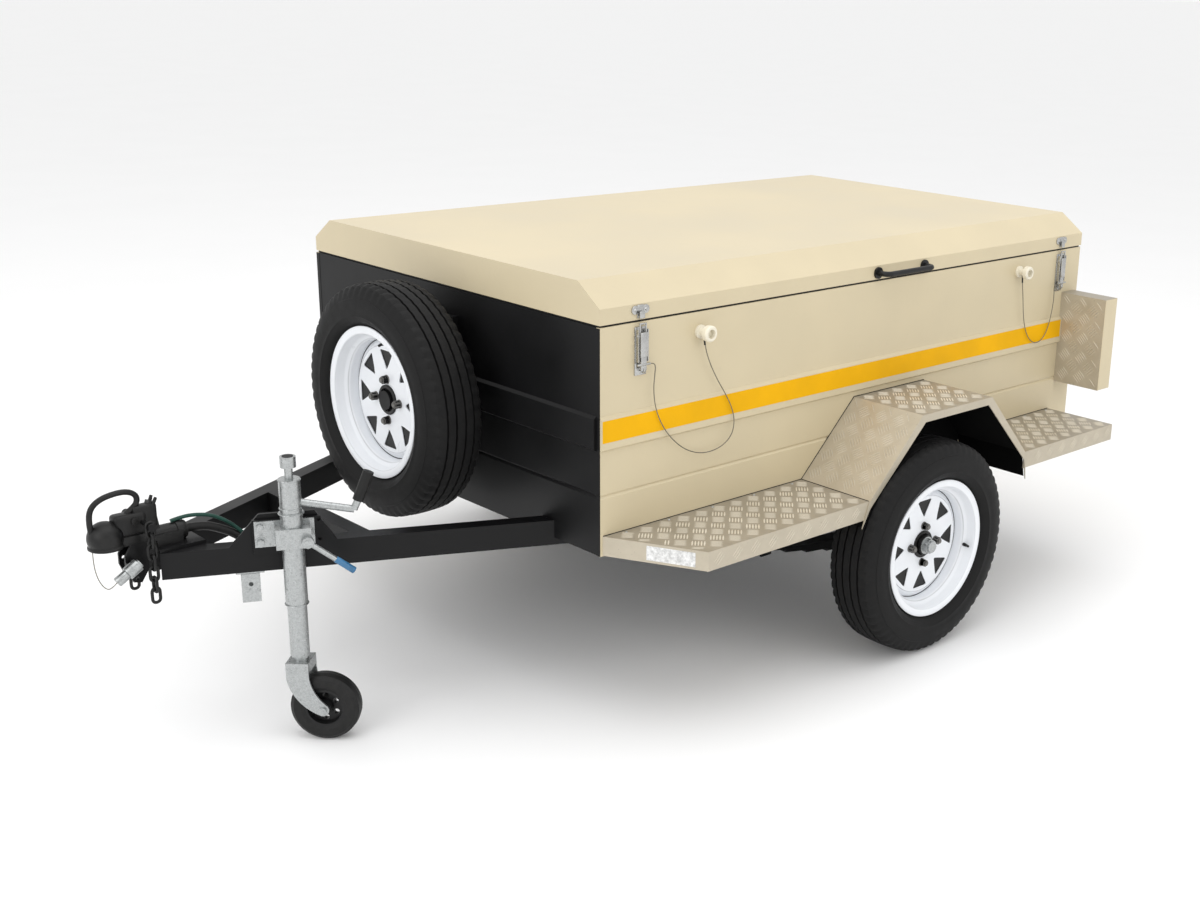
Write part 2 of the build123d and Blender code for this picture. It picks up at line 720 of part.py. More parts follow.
# Dark liners on the body side, inside the mudguards
with BuildPart() as arch_liners:
    outline = [(guard_front - 8, skirt_z), (guard_front - 8, board_z), (crown_front - 5, guard_top_z - 5),
               (crown_rear + 5, guard_top_z - 5), (guard_rear + 8, board_z), (guard_rear + 8, skirt_z)]
    for side in (1, -1):
        liner_face = side * (box_half_width + liner_sheet)
        plate(side_plane(max(side * box_half_width, liner_face)), outline, liner_sheet)
keep(arch_liners, "arch_liners")

# Lamp housings: sheet boxes beside the rear posts, open to the rear
lamp_in_y = box_half_width - post_inset
with BuildPart() as lamp_housings:
    for side in (1, -1):
        block((datum_x + lamp_rear, datum_x + lamp_front), (side * lamp_in_y, side * lamp_out_y),
              (lamp_low_z, lamp_high_z))
        block((datum_x + lamp_rear - 5, datum_x + lamp_rear + 10),
              (side * (lamp_in_y + lamp_sheet), side * (lamp_out_y - lamp_sheet)),
              (lamp_low_z + lamp_sheet, lamp_high_z - lamp_sheet), mode=Mode.SUBTRACT)
keep(lamp_housings, "lamp_housings")

# Rear lamps: three lenses in each housing
lens_count = 3
lens_step = (lamp_high_z - lamp_low_z - 2 * lamp_sheet) / lens_count
with BuildPart() as tail_lamps:
    for side in (1, -1):
        for number in range(lens_count):
            low = lamp_low_z + lamp_sheet + number * lens_step
            block((datum_x + lamp_rear + 10 - lens_thickness - 8, datum_x + lamp_rear + 10),
                  (side * (lamp_in_y + lamp_sheet + 6), side * (lamp_out_y - lamp_sheet - 6)),
                  (low + 4, low + lens_step - 4))
keep(tail_lamps, "tail_lamps")

# Axle: a square beam with a spindle and a castle nut at each end
hub_inner = -50
hub_nose = 28
with BuildPart() as axle_beam:
    block((axle_x - beam_size / 2, axle_x + beam_size / 2), (-beam_half_length, beam_half_length),
          (axle_z - beam_size / 2, axle_z + beam_size / 2))
    for side in (1, -1):
        block((axle_x - beam_size / 2, axle_x + beam_size / 2),
              (side * spring_y - spring_width / 2, side * spring_y + spring_width / 2),
              (axle_z - beam_size / 2 - seat_height, axle_z - beam_size / 2))
        rod((axle_x, side * beam_half_length, axle_z), (axle_x, side * (wheel_y + hub_nose + 20), axle_z),
            spindle_radius)
        nut_plane = wheel_plane(axle_x, side * wheel_y, axle_z, (0, side, 0))
        nut_face = Plane(origin=nut_plane.origin, x_dir=(0, 0, 1), z_dir=nut_plane.x_dir)
        with BuildSketch(nut_face.offset(hub_nose + 1)):
            RegularPolygon(20, 6)
        extrude(amount=13)
keep(axle_beam, "axle_beam")

# Leaf springs below the axle, held by a plate and four bolt legs
spring_top_z = axle_z - beam_size / 2 - seat_height - running_gap
arc_radius = (spring_half_length ** 2 + eye_rise ** 2) / (2 * eye_rise)
bolt_radius = 5
bolt_x = beam_size / 2 + bolt_radius + running_gap
bolt_y = spring_width / 2 + bolt_radius
stack_low_z = spring_top_z - leaf_count * leaf_thickness
with BuildPart() as leaf_springs:
    for side in (1, -1):
        outer_face = side * spring_y + spring_width / 2
        for leaf in range(leaf_count):
            half = spring_half_length * (1 - 0.22 * leaf)
            top_radius = arc_radius + leaf * leaf_thickness
            low_radius = top_radius + leaf_thickness
            turn = half / arc_radius
            centre_z = spring_top_z + arc_radius
            ends = [(axle_x + way * radius * sin(turn), centre_z - radius * cos(turn))
                    for radius, way in ((top_radius, -1), (top_radius, 1), (low_radius, 1),
                                        (low_radius, -1))]
            with BuildSketch(side_plane(outer_face)):
                with BuildLine():
                    ThreePointArc(ends[0], (axle_x, centre_z - top_radius), ends[1])
                    Line(ends[1], ends[2])
                    ThreePointArc(ends[2], (axle_x, centre_z - low_radius), ends[3])
                    Line(ends[3], ends[0])
                make_face()
            extrude(amount=spring_width)
        for way in (1, -1):
            eye = (axle_x + way * spring_half_length, spring_top_z + eye_rise)
            with BuildSketch(side_plane(outer_face)):
                with Locations(eye):
                    Circle(eye_radius)
            extrude(amount=spring_width)
            with BuildSketch(side_plane(outer_face)):
                with Locations(eye):
                    Circle(6 + running_gap)
            extrude(amount=spring_width, mode=Mode.SUBTRACT)
        block((axle_x - bolt_x - 10, axle_x + bolt_x + 10),
              (side * spring_y - bolt_y - 10, side * spring_y + bolt_y + 10),
              (stack_low_z - 8, stack_low_z))
        for across in (-bolt_y, bolt_y):
            y = side * spring_y + across
            for way in (1, -1):
                rod((axle_x + way * bolt_x, y, stack_low_z - 16),
                    (axle_x + way * bolt_x, y, axle_z + beam_size / 2 + 2 * bolt_radius), bolt_radius)
            rod((axle_x - bolt_x, y, axle_z + beam_size / 2 + bolt_radius + running_gap),
                (axle_x + bolt_x, y, axle_z + beam_size / 2 + bolt_radius + running_gap), bolt_radius)
keep(leaf_springs, "leaf_springs")

# Spring hangers below the chassis rails, with a bolt through each eye
eye_z = spring_top_z + eye_rise
hanger_sheet = 6
with BuildPart() as spring_hangers:
    for side in (1, -1):
        for way in (1, -1):
            eye_x = axle_x + way * spring_half_length
            for ear in (1, -1):
                inner = side * spring_y + ear * (spring_width / 2 + running_gap)
                outline = [(eye_x - 34, chassis_low_z), (eye_x + 34, chassis_low_z),
                           (eye_x + 18, eye_z - 18), (eye_x - 18, eye_z - 18)]
                plate(side_plane(max(inner, inner + ear * hanger_sheet)), outline, hanger_sheet)
            block((eye_x - 34, eye_x + 34), (side * spring_y - spring_width / 2 - hanger_sheet,
                  side * spring_y + spring_width / 2 + hanger_sheet), (chassis_low_z - 6, chassis_low_z))
            rod((eye_x, side * spring_y - 36, eye_z), (eye_x, side * spring_y + 36, eye_z), 6)
keep(spring_hangers, "spring_hangers")

# Spare wheel carrier: a channel on the front wall, an arm and a stud plate
carrier_half = 55
carrier_half_height = 190
spare_x = datum_x + spare_plane
with BuildPart() as spare_carrier:
    block((box_front + swage_out, box_front + swage_out + 6), (-carrier_half, carrier_half),
          (spare_z - carrier_half_height, spare_z + carrier_half_height))
    for low, high in ((spare_z - carrier_half_height, swage_low_z - 1), (swage_high_z + 1, spare_z + carrier_half_height)):
        block((box_front, box_front + swage_out), (-carrier_half, carrier_half), (low, high))
    rod((box_front + swage_out + 6, 0, spare_z), (spare_x + disc_out - 8, 0, spare_z), 38)
    rod((spare_x + disc_out - 8, 0, spare_z), (spare_x + disc_out, 0, spare_z), hub_flange_radius)
    rod((spare_x + disc_out, 0, spare_z), (spare_x + disc_out + 14, 0, spare_z), hub_nose_radius - 3)
    stud_nuts(wheel_plane(spare_x, 0, spare_z, (1, 0, 0)), disc_out, disc_sheet + nut_height + 3)
keep(spare_carrier, "spare_carrier")

# Road wheels and the spare share one rim and one tyre
wheel_places = (("left", wheel_plane(axle_x, wheel_y, axle_z, (0, 1, 0))),
                ("right", wheel_plane(axle_x, -wheel_y, axle_z, (0, -1, 0))),
                ("spare", wheel_plane(spare_x, 0, spare_z, (1, 0, 0))))
for name, plane in wheel_places:
    with BuildPart() as tyre:
        with BuildSketch(plane):
            tyre_section()
        revolve(axis=Axis(plane.origin, plane.x_dir))
    keep(tyre, name + "_tyre")
    with BuildPart() as rim:
        rim_piece(plane)
    keep(rim, name + "_rim")

for name, plane in wheel_places[:2]:
    with BuildPart() as hub:
        bore = spindle_radius + running_gap
        flange_inner = disc_out - hub_flange_thickness
        with BuildSketch(plane):
            Polygon((hub_inner, bore), (hub_inner, hub_barrel_radius), (flange_inner, hub_barrel_radius),
                    (flange_inner, hub_flange_radius), (disc_out, hub_flange_radius),
                    (disc_out, hub_nose_radius), (hub_nose, hub_nose_radius), (hub_nose, bore))
        revolve(axis=Axis(plane.origin, plane.x_dir))
        stud_nuts(plane, disc_out, disc_sheet + nut_height + 4)
    keep(hub, name + "_hub")

# Lid: a folded shell, open below
with BuildPart() as lid_shell:
    rim_z = lid_bottom_z + lid_rim_height
    flat = box_half_width - lid_slope_width
    outline = [(box_half_width, lid_bottom_z), (box_half_width, rim_z), (flat, lid_top_z),
               (-flat, lid_top_z), (-box_half_width, rim_z), (-box_half_width, lid_bottom_z)]
    plate(cross_plane(box_rear), outline, box_front - box_rear)
    offset(amount=-lid_wall, openings=lid_shell.faces().sort_by(Axis.Z)[0])
keep(lid_shell, "lid_shell")

# Grab handle on the lid's rim
handle_stand = 34
with BuildPart() as lid_handle:
    with BuildLine() as bar:
        FilletPolyline((datum_x + handle_front, box_half_width, handle_z),
                       (datum_x + handle_front, box_half_width + handle_stand, handle_z),
                       (datum_x + handle_rear, box_half_width + handle_stand, handle_z),
                       (datum_x + handle_rear, box_half_width, handle_z), radius=16)
    with BuildSketch(side_plane(box_half_width)):
        with Locations((datum_x + handle_front, handle_z)):
            Circle(7)
    sweep(path=bar.wire())
    for x in (handle_front, handle_rear):
        rod((datum_x + x, box_half_width, handle_z), (datum_x + x, box_half_width + 5, handle_z), 15)
keep(lid_handle, "lid_handle")

# Draw latches on the left wall, and their keepers on the lid
latch_low_z = 813
latch_lever_y = box_half_width + 17
with BuildPart() as latches:
    for _, x in latch_places:
        middle = datum_x + x
        block((middle - latch_width / 2, middle + latch_width / 2), (box_half_width, box_half_width + 3),
              (latch_low_z, wall_top_z - 12))
        plate(Plane(origin=(middle - 15, 0, 0), x_dir=(0, 1, 0), z_dir=(1, 0, 0)),
              [(box_half_width, latch_low_z + 8), (latch_lever_y + 6, latch_low_z + 4),
               (latch_lever_y, latch_low_z + 60), (latch_lever_y, wall_top_z - 16),
               (box_half_width, wall_top_z - 16)], 30)
        rod((middle - 20, box_half_width + 10, wall_top_z - 12),
            (middle + 20, box_half_width + 10, wall_top_z - 12), 6)
keep(latches, "latches")

with BuildPart() as latch_keepers:
    for _, x in latch_places:
        with BuildSketch(side_plane(box_half_width + 3)):
            with Locations((datum_x + x, lid_bottom_z + 20)):
                RectangleRounded(latch_width, 28, 10)
        extrude(amount=3)
        block((datum_x + x - 12, datum_x + x + 12), (box_half_width + 3, box_half_width + 9),
              (lid_bottom_z + 4, lid_bottom_z + 22))
keep(latch_keepers, "latch_keepers")

# Tie knobs: spools with a hollow ring, on both walls
knob_stem_radius = 9
with BuildPart() as tie_knobs:
    for side in (1, -1):
        for x, z in knob_places:
            plane = wheel_plane(datum_x + x, side * box_half_width, z, (0, side, 0))
            with BuildSketch(plane):
                Polygon((0, 0), (0, 16), (5, 16), (8, knob_stem_radius), (knob_height - 18, knob_stem_radius),
                        (knob_height - 14, knob_radius), (knob_height - 3, knob_radius),
                        (knob_height, knob_radius - 3), (knob_height, knob_radius - 8),
                        (knob_height - 12, knob_radius - 9), (knob_height - 12, 0))
            revolve(axis=Axis(plane.origin, plane.x_dir))
keep(tie_knobs, "tie_knobs")

# Lid hinges on the right: knuckles about one axis just above the wall
hinge_y = -(box_half_width + 9)
hinge_z = wall_top_z + 3
hinge_radius = 7
hinge_pin_radius = 3
hinge_half = 16
hinge_spacing = 450
hinge_leaf_half = 36
hinge_leaf_height = 48
hinge_middle = (box_front + box_rear) / 2
hinge_places = [hinge_middle + way * hinge_spacing for way in (-1, 0, 1)]
with BuildPart() as body_hinges:
    for x in hinge_places:
        block((x - hinge_leaf_half, x + hinge_leaf_half), (-box_half_width - 3, -box_half_width), (wall_top_z - hinge_leaf_height, wall_top_z - 4))
        block((x - hinge_half, x + hinge_half), (hinge_y, -box_half_width), (wall_top_z - 12, wall_top_z - 3))
        block((x - hinge_half, x + hinge_half), (hinge_y - 3, hinge_y + 3), (wall_top_z - 12, hinge_z))
        rod((x - hinge_half, hinge_y, hinge_z), (x + hinge_half, hinge_y, hinge_z), hinge_radius)
        rod((x - hinge_leaf_half, hinge_y, hinge_z), (x + hinge_leaf_half, hinge_y, hinge_z), hinge_pin_radius)
keep(body_hinges, "body_hinges")

with BuildPart() as lid_hinges:
    for x in hinge_places:
        for way in (1, -1):
            inner = x + way * (hinge_half + 0.5)
            outer = x + way * hinge_leaf_half
            block((inner, outer), (-box_half_width - 3, -box_half_width),
                  (lid_bottom_z + 1, lid_bottom_z + 33))
            block((inner, outer), (hinge_y, -box_half_width), (lid_bottom_z + 1, lid_bottom_z + 9))
            rod((inner, hinge_y, hinge_z), (outer, hinge_y, hinge_z), hinge_radius)
            rod((inner, hinge_y, hinge_z), (outer, hinge_y, hinge_z),
                hinge_pin_radius + running_gap, Mode.SUBTRACT)
keep(lid_hinges, "lid_hinges")

# Tailgate between the rear posts, hinged at its foot
gate_half_width = box_half_width - wall - post_return - door_gap
gate_low_z = 431
gate_pin_x = box_rear - gate_pin_out
gate_pin_z = gate_low_z - 4
gate_hinge_places = (-340, 340)
with BuildPart() as tailgate_panel:
    block((box_rear, box_rear + wall), (-gate_half_width, gate_half_width),
          (gate_low_z, wall_top_z - door_gap))
    block((box_rear - 3, box_rear), (-gate_half_width + 60, gate_half_width - 60),
          (gate_low_z + 80, wall_top_z - door_gap - 60))
    for y in gate_hinge_places:
        block((box_rear - 4, box_rear), (y - 38, y + 38), (gate_low_z + 6, gate_low_z + 60))
        for way in (1, -1):
            inner = y + way * (hinge_half + 0.5)
            outer = y + way * 38
            rod((gate_pin_x, inner, gate_pin_z), (gate_pin_x, outer, gate_pin_z), gate_knuckle_radius)
            block((gate_pin_x, box_rear), (inner, outer), (gate_pin_z, gate_low_z + 6))
    for y in gate_hinge_places:
        rod((gate_pin_x, y - 50, gate_pin_z), (gate_pin_x, y + 50, gate_pin_z),
            4 + running_gap, Mode.SUBTRACT)
keep(tailgate_panel, "tailgate_panel")

with BuildPart() as gate_hinges:
    for y in gate_hinge_places:
        block((gate_pin_x, box_rear + wall + 8), (y - hinge_half, y + hinge_half),
              (gate_pin_z - gate_knuckle_radius, gate_pin_z - 2))
        rod((gate_pin_x, y - hinge_half, gate_pin_z), (gate_pin_x, y + hinge_half, gate_pin_z),
            gate_knuckle_radius)
        rod((gate_pin_x, y - 38, gate_pin_z), (gate_pin_x, y + 38, gate_pin_z), 4)
        block((box_rear - 2, box_rear + wall + 2), (y - hinge_half, y + hinge_half),
              (gate_pin_z - 2, gate_pin_z + 20), mode=Mode.SUBTRACT)
keep(gate_hinges, "gate_hinges")

gate_latch_inset = 69
gate_latch_width = 45
gate_latch_drop = 15
gate_latch_height = 46
gate_latch_out = gate_half_width - gate_latch_inset
gate_latch_top_z = wall_top_z - gate_latch_drop
gate_bolt_z = gate_latch_top_z - gate_latch_height / 2
gate_bolt_gap = 9
with BuildPart() as tailgate_latches:
    for side in (1, -1):
        block((box_rear - 12, box_rear), (side * (gate_latch_out - gate_latch_width), side * gate_latch_out),
              (gate_latch_top_z - gate_latch_height, gate_latch_top_z))
        rod((box_rear - 6, side * gate_latch_out, gate_bolt_z),
            (box_rear - 6, side * (gate_half_width - gate_bolt_gap), gate_bolt_z), 5)
keep(tailgate_latches, "tailgate_latches")

# Wire lanyards on the left wall, from each knob to its latch
lanyard_y = box_half_width + 14
front_route = [(601, 879.7), (597, 853), (581, 813), (557, 772), (530, 734), (507, 697), (496, 661),
               (503, 628), (530, 607), (570, 598), (613, 602), (656, 620), (695, 651), (727, 690),
               (748, 735), (754, 781), (750, 815), (748, 833), (755, 841), (767.7, 841)]
rear_route = [(-634, 884.7), (-637, 859), (-645, 823), (-651, 784), (-660, 745), (-677, 709),
              (-703, 683), (-735, 674), (-764, 686), (-784, 715), (-795, 752), (-801, 790),
              (-800, 816), (-799, 832), (-806, 840), (-818.7, 840)]
for name, route in (("lanyard_front", front_route), ("lanyard_rear", rear_route)):
    with BuildPart() as lanyard:
        cord_tube(name, [(datum_x + x, lanyard_y, z) for x, z in route], lanyard_diameter)
    keep(lanyard, name)

# Thin wire from the coupling's rim to the low end of the lock pin
pin_wire = [(1787, 0, 473.7), (1789, 4, 453), (1790, 11, 433), (1788.5, 20, 415), (1784, 29, 402),
            (1777, 36, 395), (1768, 38, 398)]
pin_wire_end = pin_low + pin_way * running_gap
with BuildPart() as pin_lanyard:
    route = [(datum_x + x, y, z) for x, y, z in pin_wire]
    cord_tube("pin_lanyard", route + [tuple(pin_wire_end)], 2)
keep(pin_lanyard, "pin_lanyard")

# Jack outer tube, and the crank head that turns on it
def jack_point(along=0, out=0, high=0):
    """A point near the jack, along the rail, outward from it and above the ground."""
    return jack_centre + rail_along * along + rail_outward * out + Vector(0, 0, high)


with BuildPart() as jack_outer_tube:
    rod(jack_point(high=outer_tube_low_z), jack_point(high=collar_z - 6), outer_tube_radius)
    rod(jack_point(high=collar_z - 6), jack_point(high=collar_z), outer_tube_radius + 1.5)
    rod(jack_point(high=outer_tube_low_z), jack_point(high=collar_z), inner_tube_radius + running_gap,
        Mode.SUBTRACT)
keep(jack_outer_tube, "jack_outer_tube")

crank_reach = 132
crank_grip_radius = 12
with BuildPart() as jack_crank:
    rod(jack_point(high=collar_z), jack_point(high=crank_head_z), outer_tube_radius - 1)
    rod(jack_point(high=crank_head_z), jack_point(high=knob_z - 24), 9)
    rod(jack_point(high=knob_z - 24), jack_point(high=knob_z), 17)
    rod(jack_point(high=collar_z + 24), jack_point(along=crank_reach, high=collar_z - 6), 8)
    rod(jack_point(along=crank_reach, high=collar_z - 6),
        jack_point(along=crank_reach + 9, high=collar_z + 14), 8)
keep(jack_crank, "jack_crank")

grip_start = jack_point(along=crank_reach + 9, high=collar_z + 14)
grip_end = jack_point(along=crank_reach + 35, high=collar_z + 78)
with BuildPart() as jack_crank_grip:
    rod(grip_start, grip_end, crank_grip_radius)
    add(jack_crank.part, mode=Mode.SUBTRACT)
keep(jack_crank_grip, "jack_crank_grip")

# Jack inner tube
inner_tube_low_z = fork_top_z + 10
inner_tube_top_z = 431
with BuildPart() as jack_inner_tube:
    rod(jack_point(high=inner_tube_low_z + running_gap), jack_point(high=inner_tube_top_z),
        inner_tube_radius)
    rod(jack_point(high=inner_tube_low_z + 20), jack_point(high=inner_tube_top_z),
        inner_tube_radius - tube_wall, Mode.SUBTRACT)
keep(jack_inner_tube, "jack_inner_tube")

# Caster fork: a crown and two curved cheeks that trail to the wheel
trail_way = Vector(-0.7, 0.714, 0).normalized()
axle_way = trail_way.cross(Vector(0, 0, 1))
cheek_inner = jockey_width / 2 + fork_gap
jockey_pin_radius = 8
with BuildPart() as caster_fork:
    cheek_plane = Plane(origin=(jack_centre.X, jack_centre.Y, 0), x_dir=trail_way, z_dir=axle_way)
    for low in (cheek_inner, -cheek_inner - fork_sheet):
        with BuildSketch(cheek_plane.offset(low)):
            with BuildLine():
                Line((-25, fork_top_z), (-25, 150))
                ThreePointArc((-25, 150), (2, 96), (44, jockey_radius - 12))
                ThreePointArc((44, jockey_radius - 12), (caster_trail + 13, jockey_radius - 4),
                              (60, jockey_radius + 12))
                ThreePointArc((60, jockey_radius + 12), (34, 124), (25, 158))
                Polyline((25, 158), (25, fork_top_z), (-25, fork_top_z))
            make_face()
        extrude(amount=fork_sheet)
    with BuildSketch(cheek_plane.offset(-cheek_inner - fork_sheet)):
        with Locations((0, fork_top_z - 12)):
            Rectangle(50, 24)
    extrude(amount=2 * (cheek_inner + fork_sheet))
    rod(jack_point(high=fork_top_z), jack_point(high=inner_tube_low_z), inner_tube_radius - 3)
    pin_middle = Vector(jack_centre.X, jack_centre.Y, jockey_radius) + trail_way * caster_trail
    rod(pin_middle - axle_way * (cheek_inner + fork_sheet + 5),
        pin_middle + axle_way * (cheek_inner + fork_sheet + 5), jockey_pin_radius)
keep(caster_fork, "caster_fork")

# Jockey wheel: a rubber tyre on a spoked rim
jockey_plane = Plane(origin=pin_middle, x_dir=axle_way, z_dir=axle_way.cross(Vector(0, 0, 1)))
jockey_axis = Axis(jockey_plane.origin, jockey_plane.x_dir)
half_tread = jockey_width / 2
with BuildPart() as jockey_tyre:
    with BuildSketch(jockey_plane):
        Polygon((-half_tread + 3, jockey_rim_radius), (half_tread - 3, jockey_rim_radius),
                (half_tread, jockey_rim_radius + 8), (half_tread, jockey_radius - 10),
                (half_tread - 8, jockey_radius - 1.5), (0, jockey_radius),
                (-half_tread + 8, jockey_radius - 1.5), (-half_tread, jockey_radius - 10),
                (-half_tread, jockey_rim_radius + 8))
    revolve(axis=jockey_axis)
keep(jockey_tyre, "jockey_tyre")

with BuildPart() as jockey_rim:
    with BuildSketch(jockey_plane):
        Polygon((-half_tread + 3, jockey_rim_radius), (-half_tread + 3, jockey_rim_radius - 5),
                (-6, jockey_rim_radius - 8), (-6, 18), (-half_tread, 16),
                (-half_tread, jockey_pin_radius + running_gap), (half_tread, jockey_pin_radius + running_gap),
                (half_tread, 16), (6, 18), (6, jockey_rim_radius - 8),
                (half_tread - 3, jockey_rim_radius - 5), (half_tread - 3, jockey_rim_radius))
    revolve(axis=jockey_axis)
    window_plane = Plane(origin=pin_middle, x_dir=(0, 0, 1), z_dir=axle_way)
    with BuildSketch(window_plane.offset(-10)):
        with PolarLocations(27, 6):
            Circle(6.5)
    extrude(amount=20, mode=Mode.SUBTRACT)
keep(jockey_rim, "jockey_rim")
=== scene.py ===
import bmesh
import bpy
import math
from mathutils import Matrix, Vector


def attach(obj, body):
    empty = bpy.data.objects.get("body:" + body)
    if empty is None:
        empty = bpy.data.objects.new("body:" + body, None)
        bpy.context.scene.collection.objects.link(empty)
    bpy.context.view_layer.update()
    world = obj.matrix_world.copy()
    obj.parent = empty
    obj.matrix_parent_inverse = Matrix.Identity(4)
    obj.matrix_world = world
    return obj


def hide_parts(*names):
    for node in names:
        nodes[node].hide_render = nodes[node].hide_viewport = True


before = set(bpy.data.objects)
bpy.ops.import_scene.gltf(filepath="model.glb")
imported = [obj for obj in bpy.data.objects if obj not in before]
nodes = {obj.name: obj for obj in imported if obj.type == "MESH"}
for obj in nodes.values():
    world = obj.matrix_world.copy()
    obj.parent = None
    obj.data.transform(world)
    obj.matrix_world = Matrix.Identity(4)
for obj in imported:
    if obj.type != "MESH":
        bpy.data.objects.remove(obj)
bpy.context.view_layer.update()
print("frame loaded:", len(nodes), "nodes")

datumX = -0.4185  # metres, the same datum as the part's source
axleX = -0.4265
wheelY = 0.78
wheelZ = 0.281
spareZ = 0.681
boxFront = 0.4785
boxRear = -1.3585
boxHalf = 0.587
boardTop = 0.457


# small tools for shader nodes
def addNode(material, kind, **settings):
    made = material.node_tree.nodes.new("ShaderNode" + kind)
    for name, value in settings.items():
        setattr(made, name, value)
    return made


def join(material, source, target):
    material.node_tree.links.new(source, target)


def feed(material, socket, value):  # a socket is linked, a number is set
    if isinstance(value, bpy.types.NodeSocket):
        join(material, value, socket)
    else:
        socket.default_value = value


def calc(material, operation, first, second=None, third=None):
    made = addNode(material, "Math", operation=operation)
    for place, value in enumerate((first, second, third)):
        if value is not None:
            feed(material, made.inputs[place], value)
    return made.outputs[0]


def objectCoords(material):
    return addNode(material, "TexCoord").outputs["Object"]


def noise(material, coords, scale, detail=4.0, roughness=0.55):
    made = addNode(material, "TexNoise")
    for name, value in (("Vector", coords), ("Scale", scale), ("Detail", detail), ("Roughness", roughness)):
        feed(material, made.inputs[name], value)
    return made.outputs["Fac"]


def ramp(material, factor, stops):
    made = addNode(material, "ValToRGB")
    join(material, factor, made.inputs["Fac"])
    elements = made.color_ramp.elements
    while len(elements) < len(stops):
        elements.new(0.5)
    for element, (place, colour) in zip(elements, stops):
        element.position = place
        element.color = (*colour, 1) if len(colour) == 3 else colour
    return made.outputs["Color"]


def greyRamp(material, factor, low, high, start=0.3, end=0.7):
    return ramp(material, factor, [(start, (low,) * 3), (end, (high,) * 3)])


def mixColour(material, factor, first, second, blend="MIX"):
    made = addNode(material, "Mix", data_type="RGBA", blend_type=blend)
    feed(material, made.inputs["Factor"], factor)
    for socket, value in ((made.inputs[6], first), (made.inputs[7], second)):
        feed(material, socket, value if isinstance(value, bpy.types.NodeSocket) else (*value, 1))
    return made.outputs[2]


def addBump(material, height, strength, distance):
    made = addNode(material, "Bump")
    for name, value in (("Height", height), ("Strength", strength), ("Distance", distance)):
        feed(material, made.inputs[name], value)
    join(material, made.outputs["Normal"], shaderOf(material).inputs["Normal"])


def shaderOf(material):
    return material.node_tree.nodes["Principled BSDF"]


def setColour(material, colour):
    join(material, colour, shaderOf(material).inputs["Base Color"])


def setRoughness(material, look, factor, less, more):
    rough = greyRamp(material, factor, look["roughness"] - less, look["roughness"] + more)
    join(material, rough, shaderOf(material).inputs["Roughness"])


def twoTones(colour, share):  # a darker and a lighter tone of one colour
    return [c * (1 - share) for c in colour], [min(1.0, c * (1 + share)) for c in colour]


def startMaterial(name, look):
    material = bpy.data.materials.new(name)
    material.use_nodes = True
    inputs = shaderOf(material).inputs
    inputs["Base Color"].default_value = (*look["colour"], 1)
    inputs["Roughness"].default_value = look["roughness"]
    inputs["Coat Roughness"].default_value = 0.25
    for socket, key, usual in (("Metallic", "metallic", 0.0), ("Specular IOR Level", "specular", 0.5),
                               ("Coat Weight", "coat", 0.0)):
        inputs[socket].default_value = look.get(key, usual)
    return material


# materials
def paintMaterial(name, look):  # sprayed paint: broad tone changes, orange peel and fine dust
    material = startMaterial(name, look)
    coords = objectCoords(material)
    broad = noise(material, coords, look["patches"], 3.0)
    fine = noise(material, coords, look["peel"], 2.0)
    dust = noise(material, coords, 38.0, 8.0, 0.7)
    low, high = twoTones(look["colour"], look["variation"])
    toned = ramp(material, broad, [(0.3, low), (0.7, high)])
    speck = greyRamp(material, dust, 0.0, look["dust"], 0.58, 0.8)
    setColour(material, mixColour(material, speck, toned, look["dustColour"]))
    setRoughness(material, look, broad, 0.06, 0.08)
    addBump(material, fine, look["bump"], 0.0006)
    return material


def zincMaterial(name, look):  # plated steel with crystals, dull spots and small runs
    material = startMaterial(name, look)
    coords = objectCoords(material)
    crystals = addNode(material, "TexVoronoi", feature="F1")
    join(material, coords, crystals.inputs["Vector"])
    crystals.inputs["Scale"].default_value = look["crystals"]
    flakes = addNode(material, "SeparateColor")
    join(material, crystals.outputs["Color"], flakes.inputs["Color"])
    spots = noise(material, coords, look["spots"], 6.0, 0.65)
    low, high = twoTones(look["colour"], look["contrast"])
    base = ramp(material, flakes.outputs["Red"], [(0.0, low), (1.0, high)])
    dull = greyRamp(material, spots, 0.0, look["spotting"], 0.6, 0.74)
    setColour(material, mixColour(material, dull, base, look["stain"]))
    setRoughness(material, look, spots, 0.08, 0.2)
    addBump(material, spots, 0.35, 0.0008)
    return material


def treadMaterial(name, look):  # worn plate: one pair of tones for level faces, which paints shade onto them, one for the others, and dark pits
    material = startMaterial(name, look)
    texture = addNode(material, "TexCoord")
    facing = addNode(material, "SeparateXYZ")
    join(material, texture.outputs["Normal"], facing.inputs[0])
    # faces that look up take the level tones: painted shade
    levelShadeMask = calc(material, "GREATER_THAN", facing.outputs[2], 0.8)
    worn = noise(material, texture.outputs["Object"], 17.0, 7.0, 0.65)
    pits = noise(material, texture.outputs["Object"], 210.0, 3.0, 0.6)
    steep = ramp(material, worn, [(0.3, look["shade"]), (0.7, look["colour"])])
    flat = ramp(material, worn, [(0.3, look["flatShade"]), (0.7, look["flat"])])
    ground = mixColour(material, levelShadeMask, steep, flat)
    setColour(material, mixColour(material, greyRamp(material, pits, 0.0, 0.6, 0.66, 0.76), ground, look["pit"]))
    setRoughness(material, look, worn, 0.08, 0.12)
    addBump(material, pits, 0.25, 0.0006)
    return material


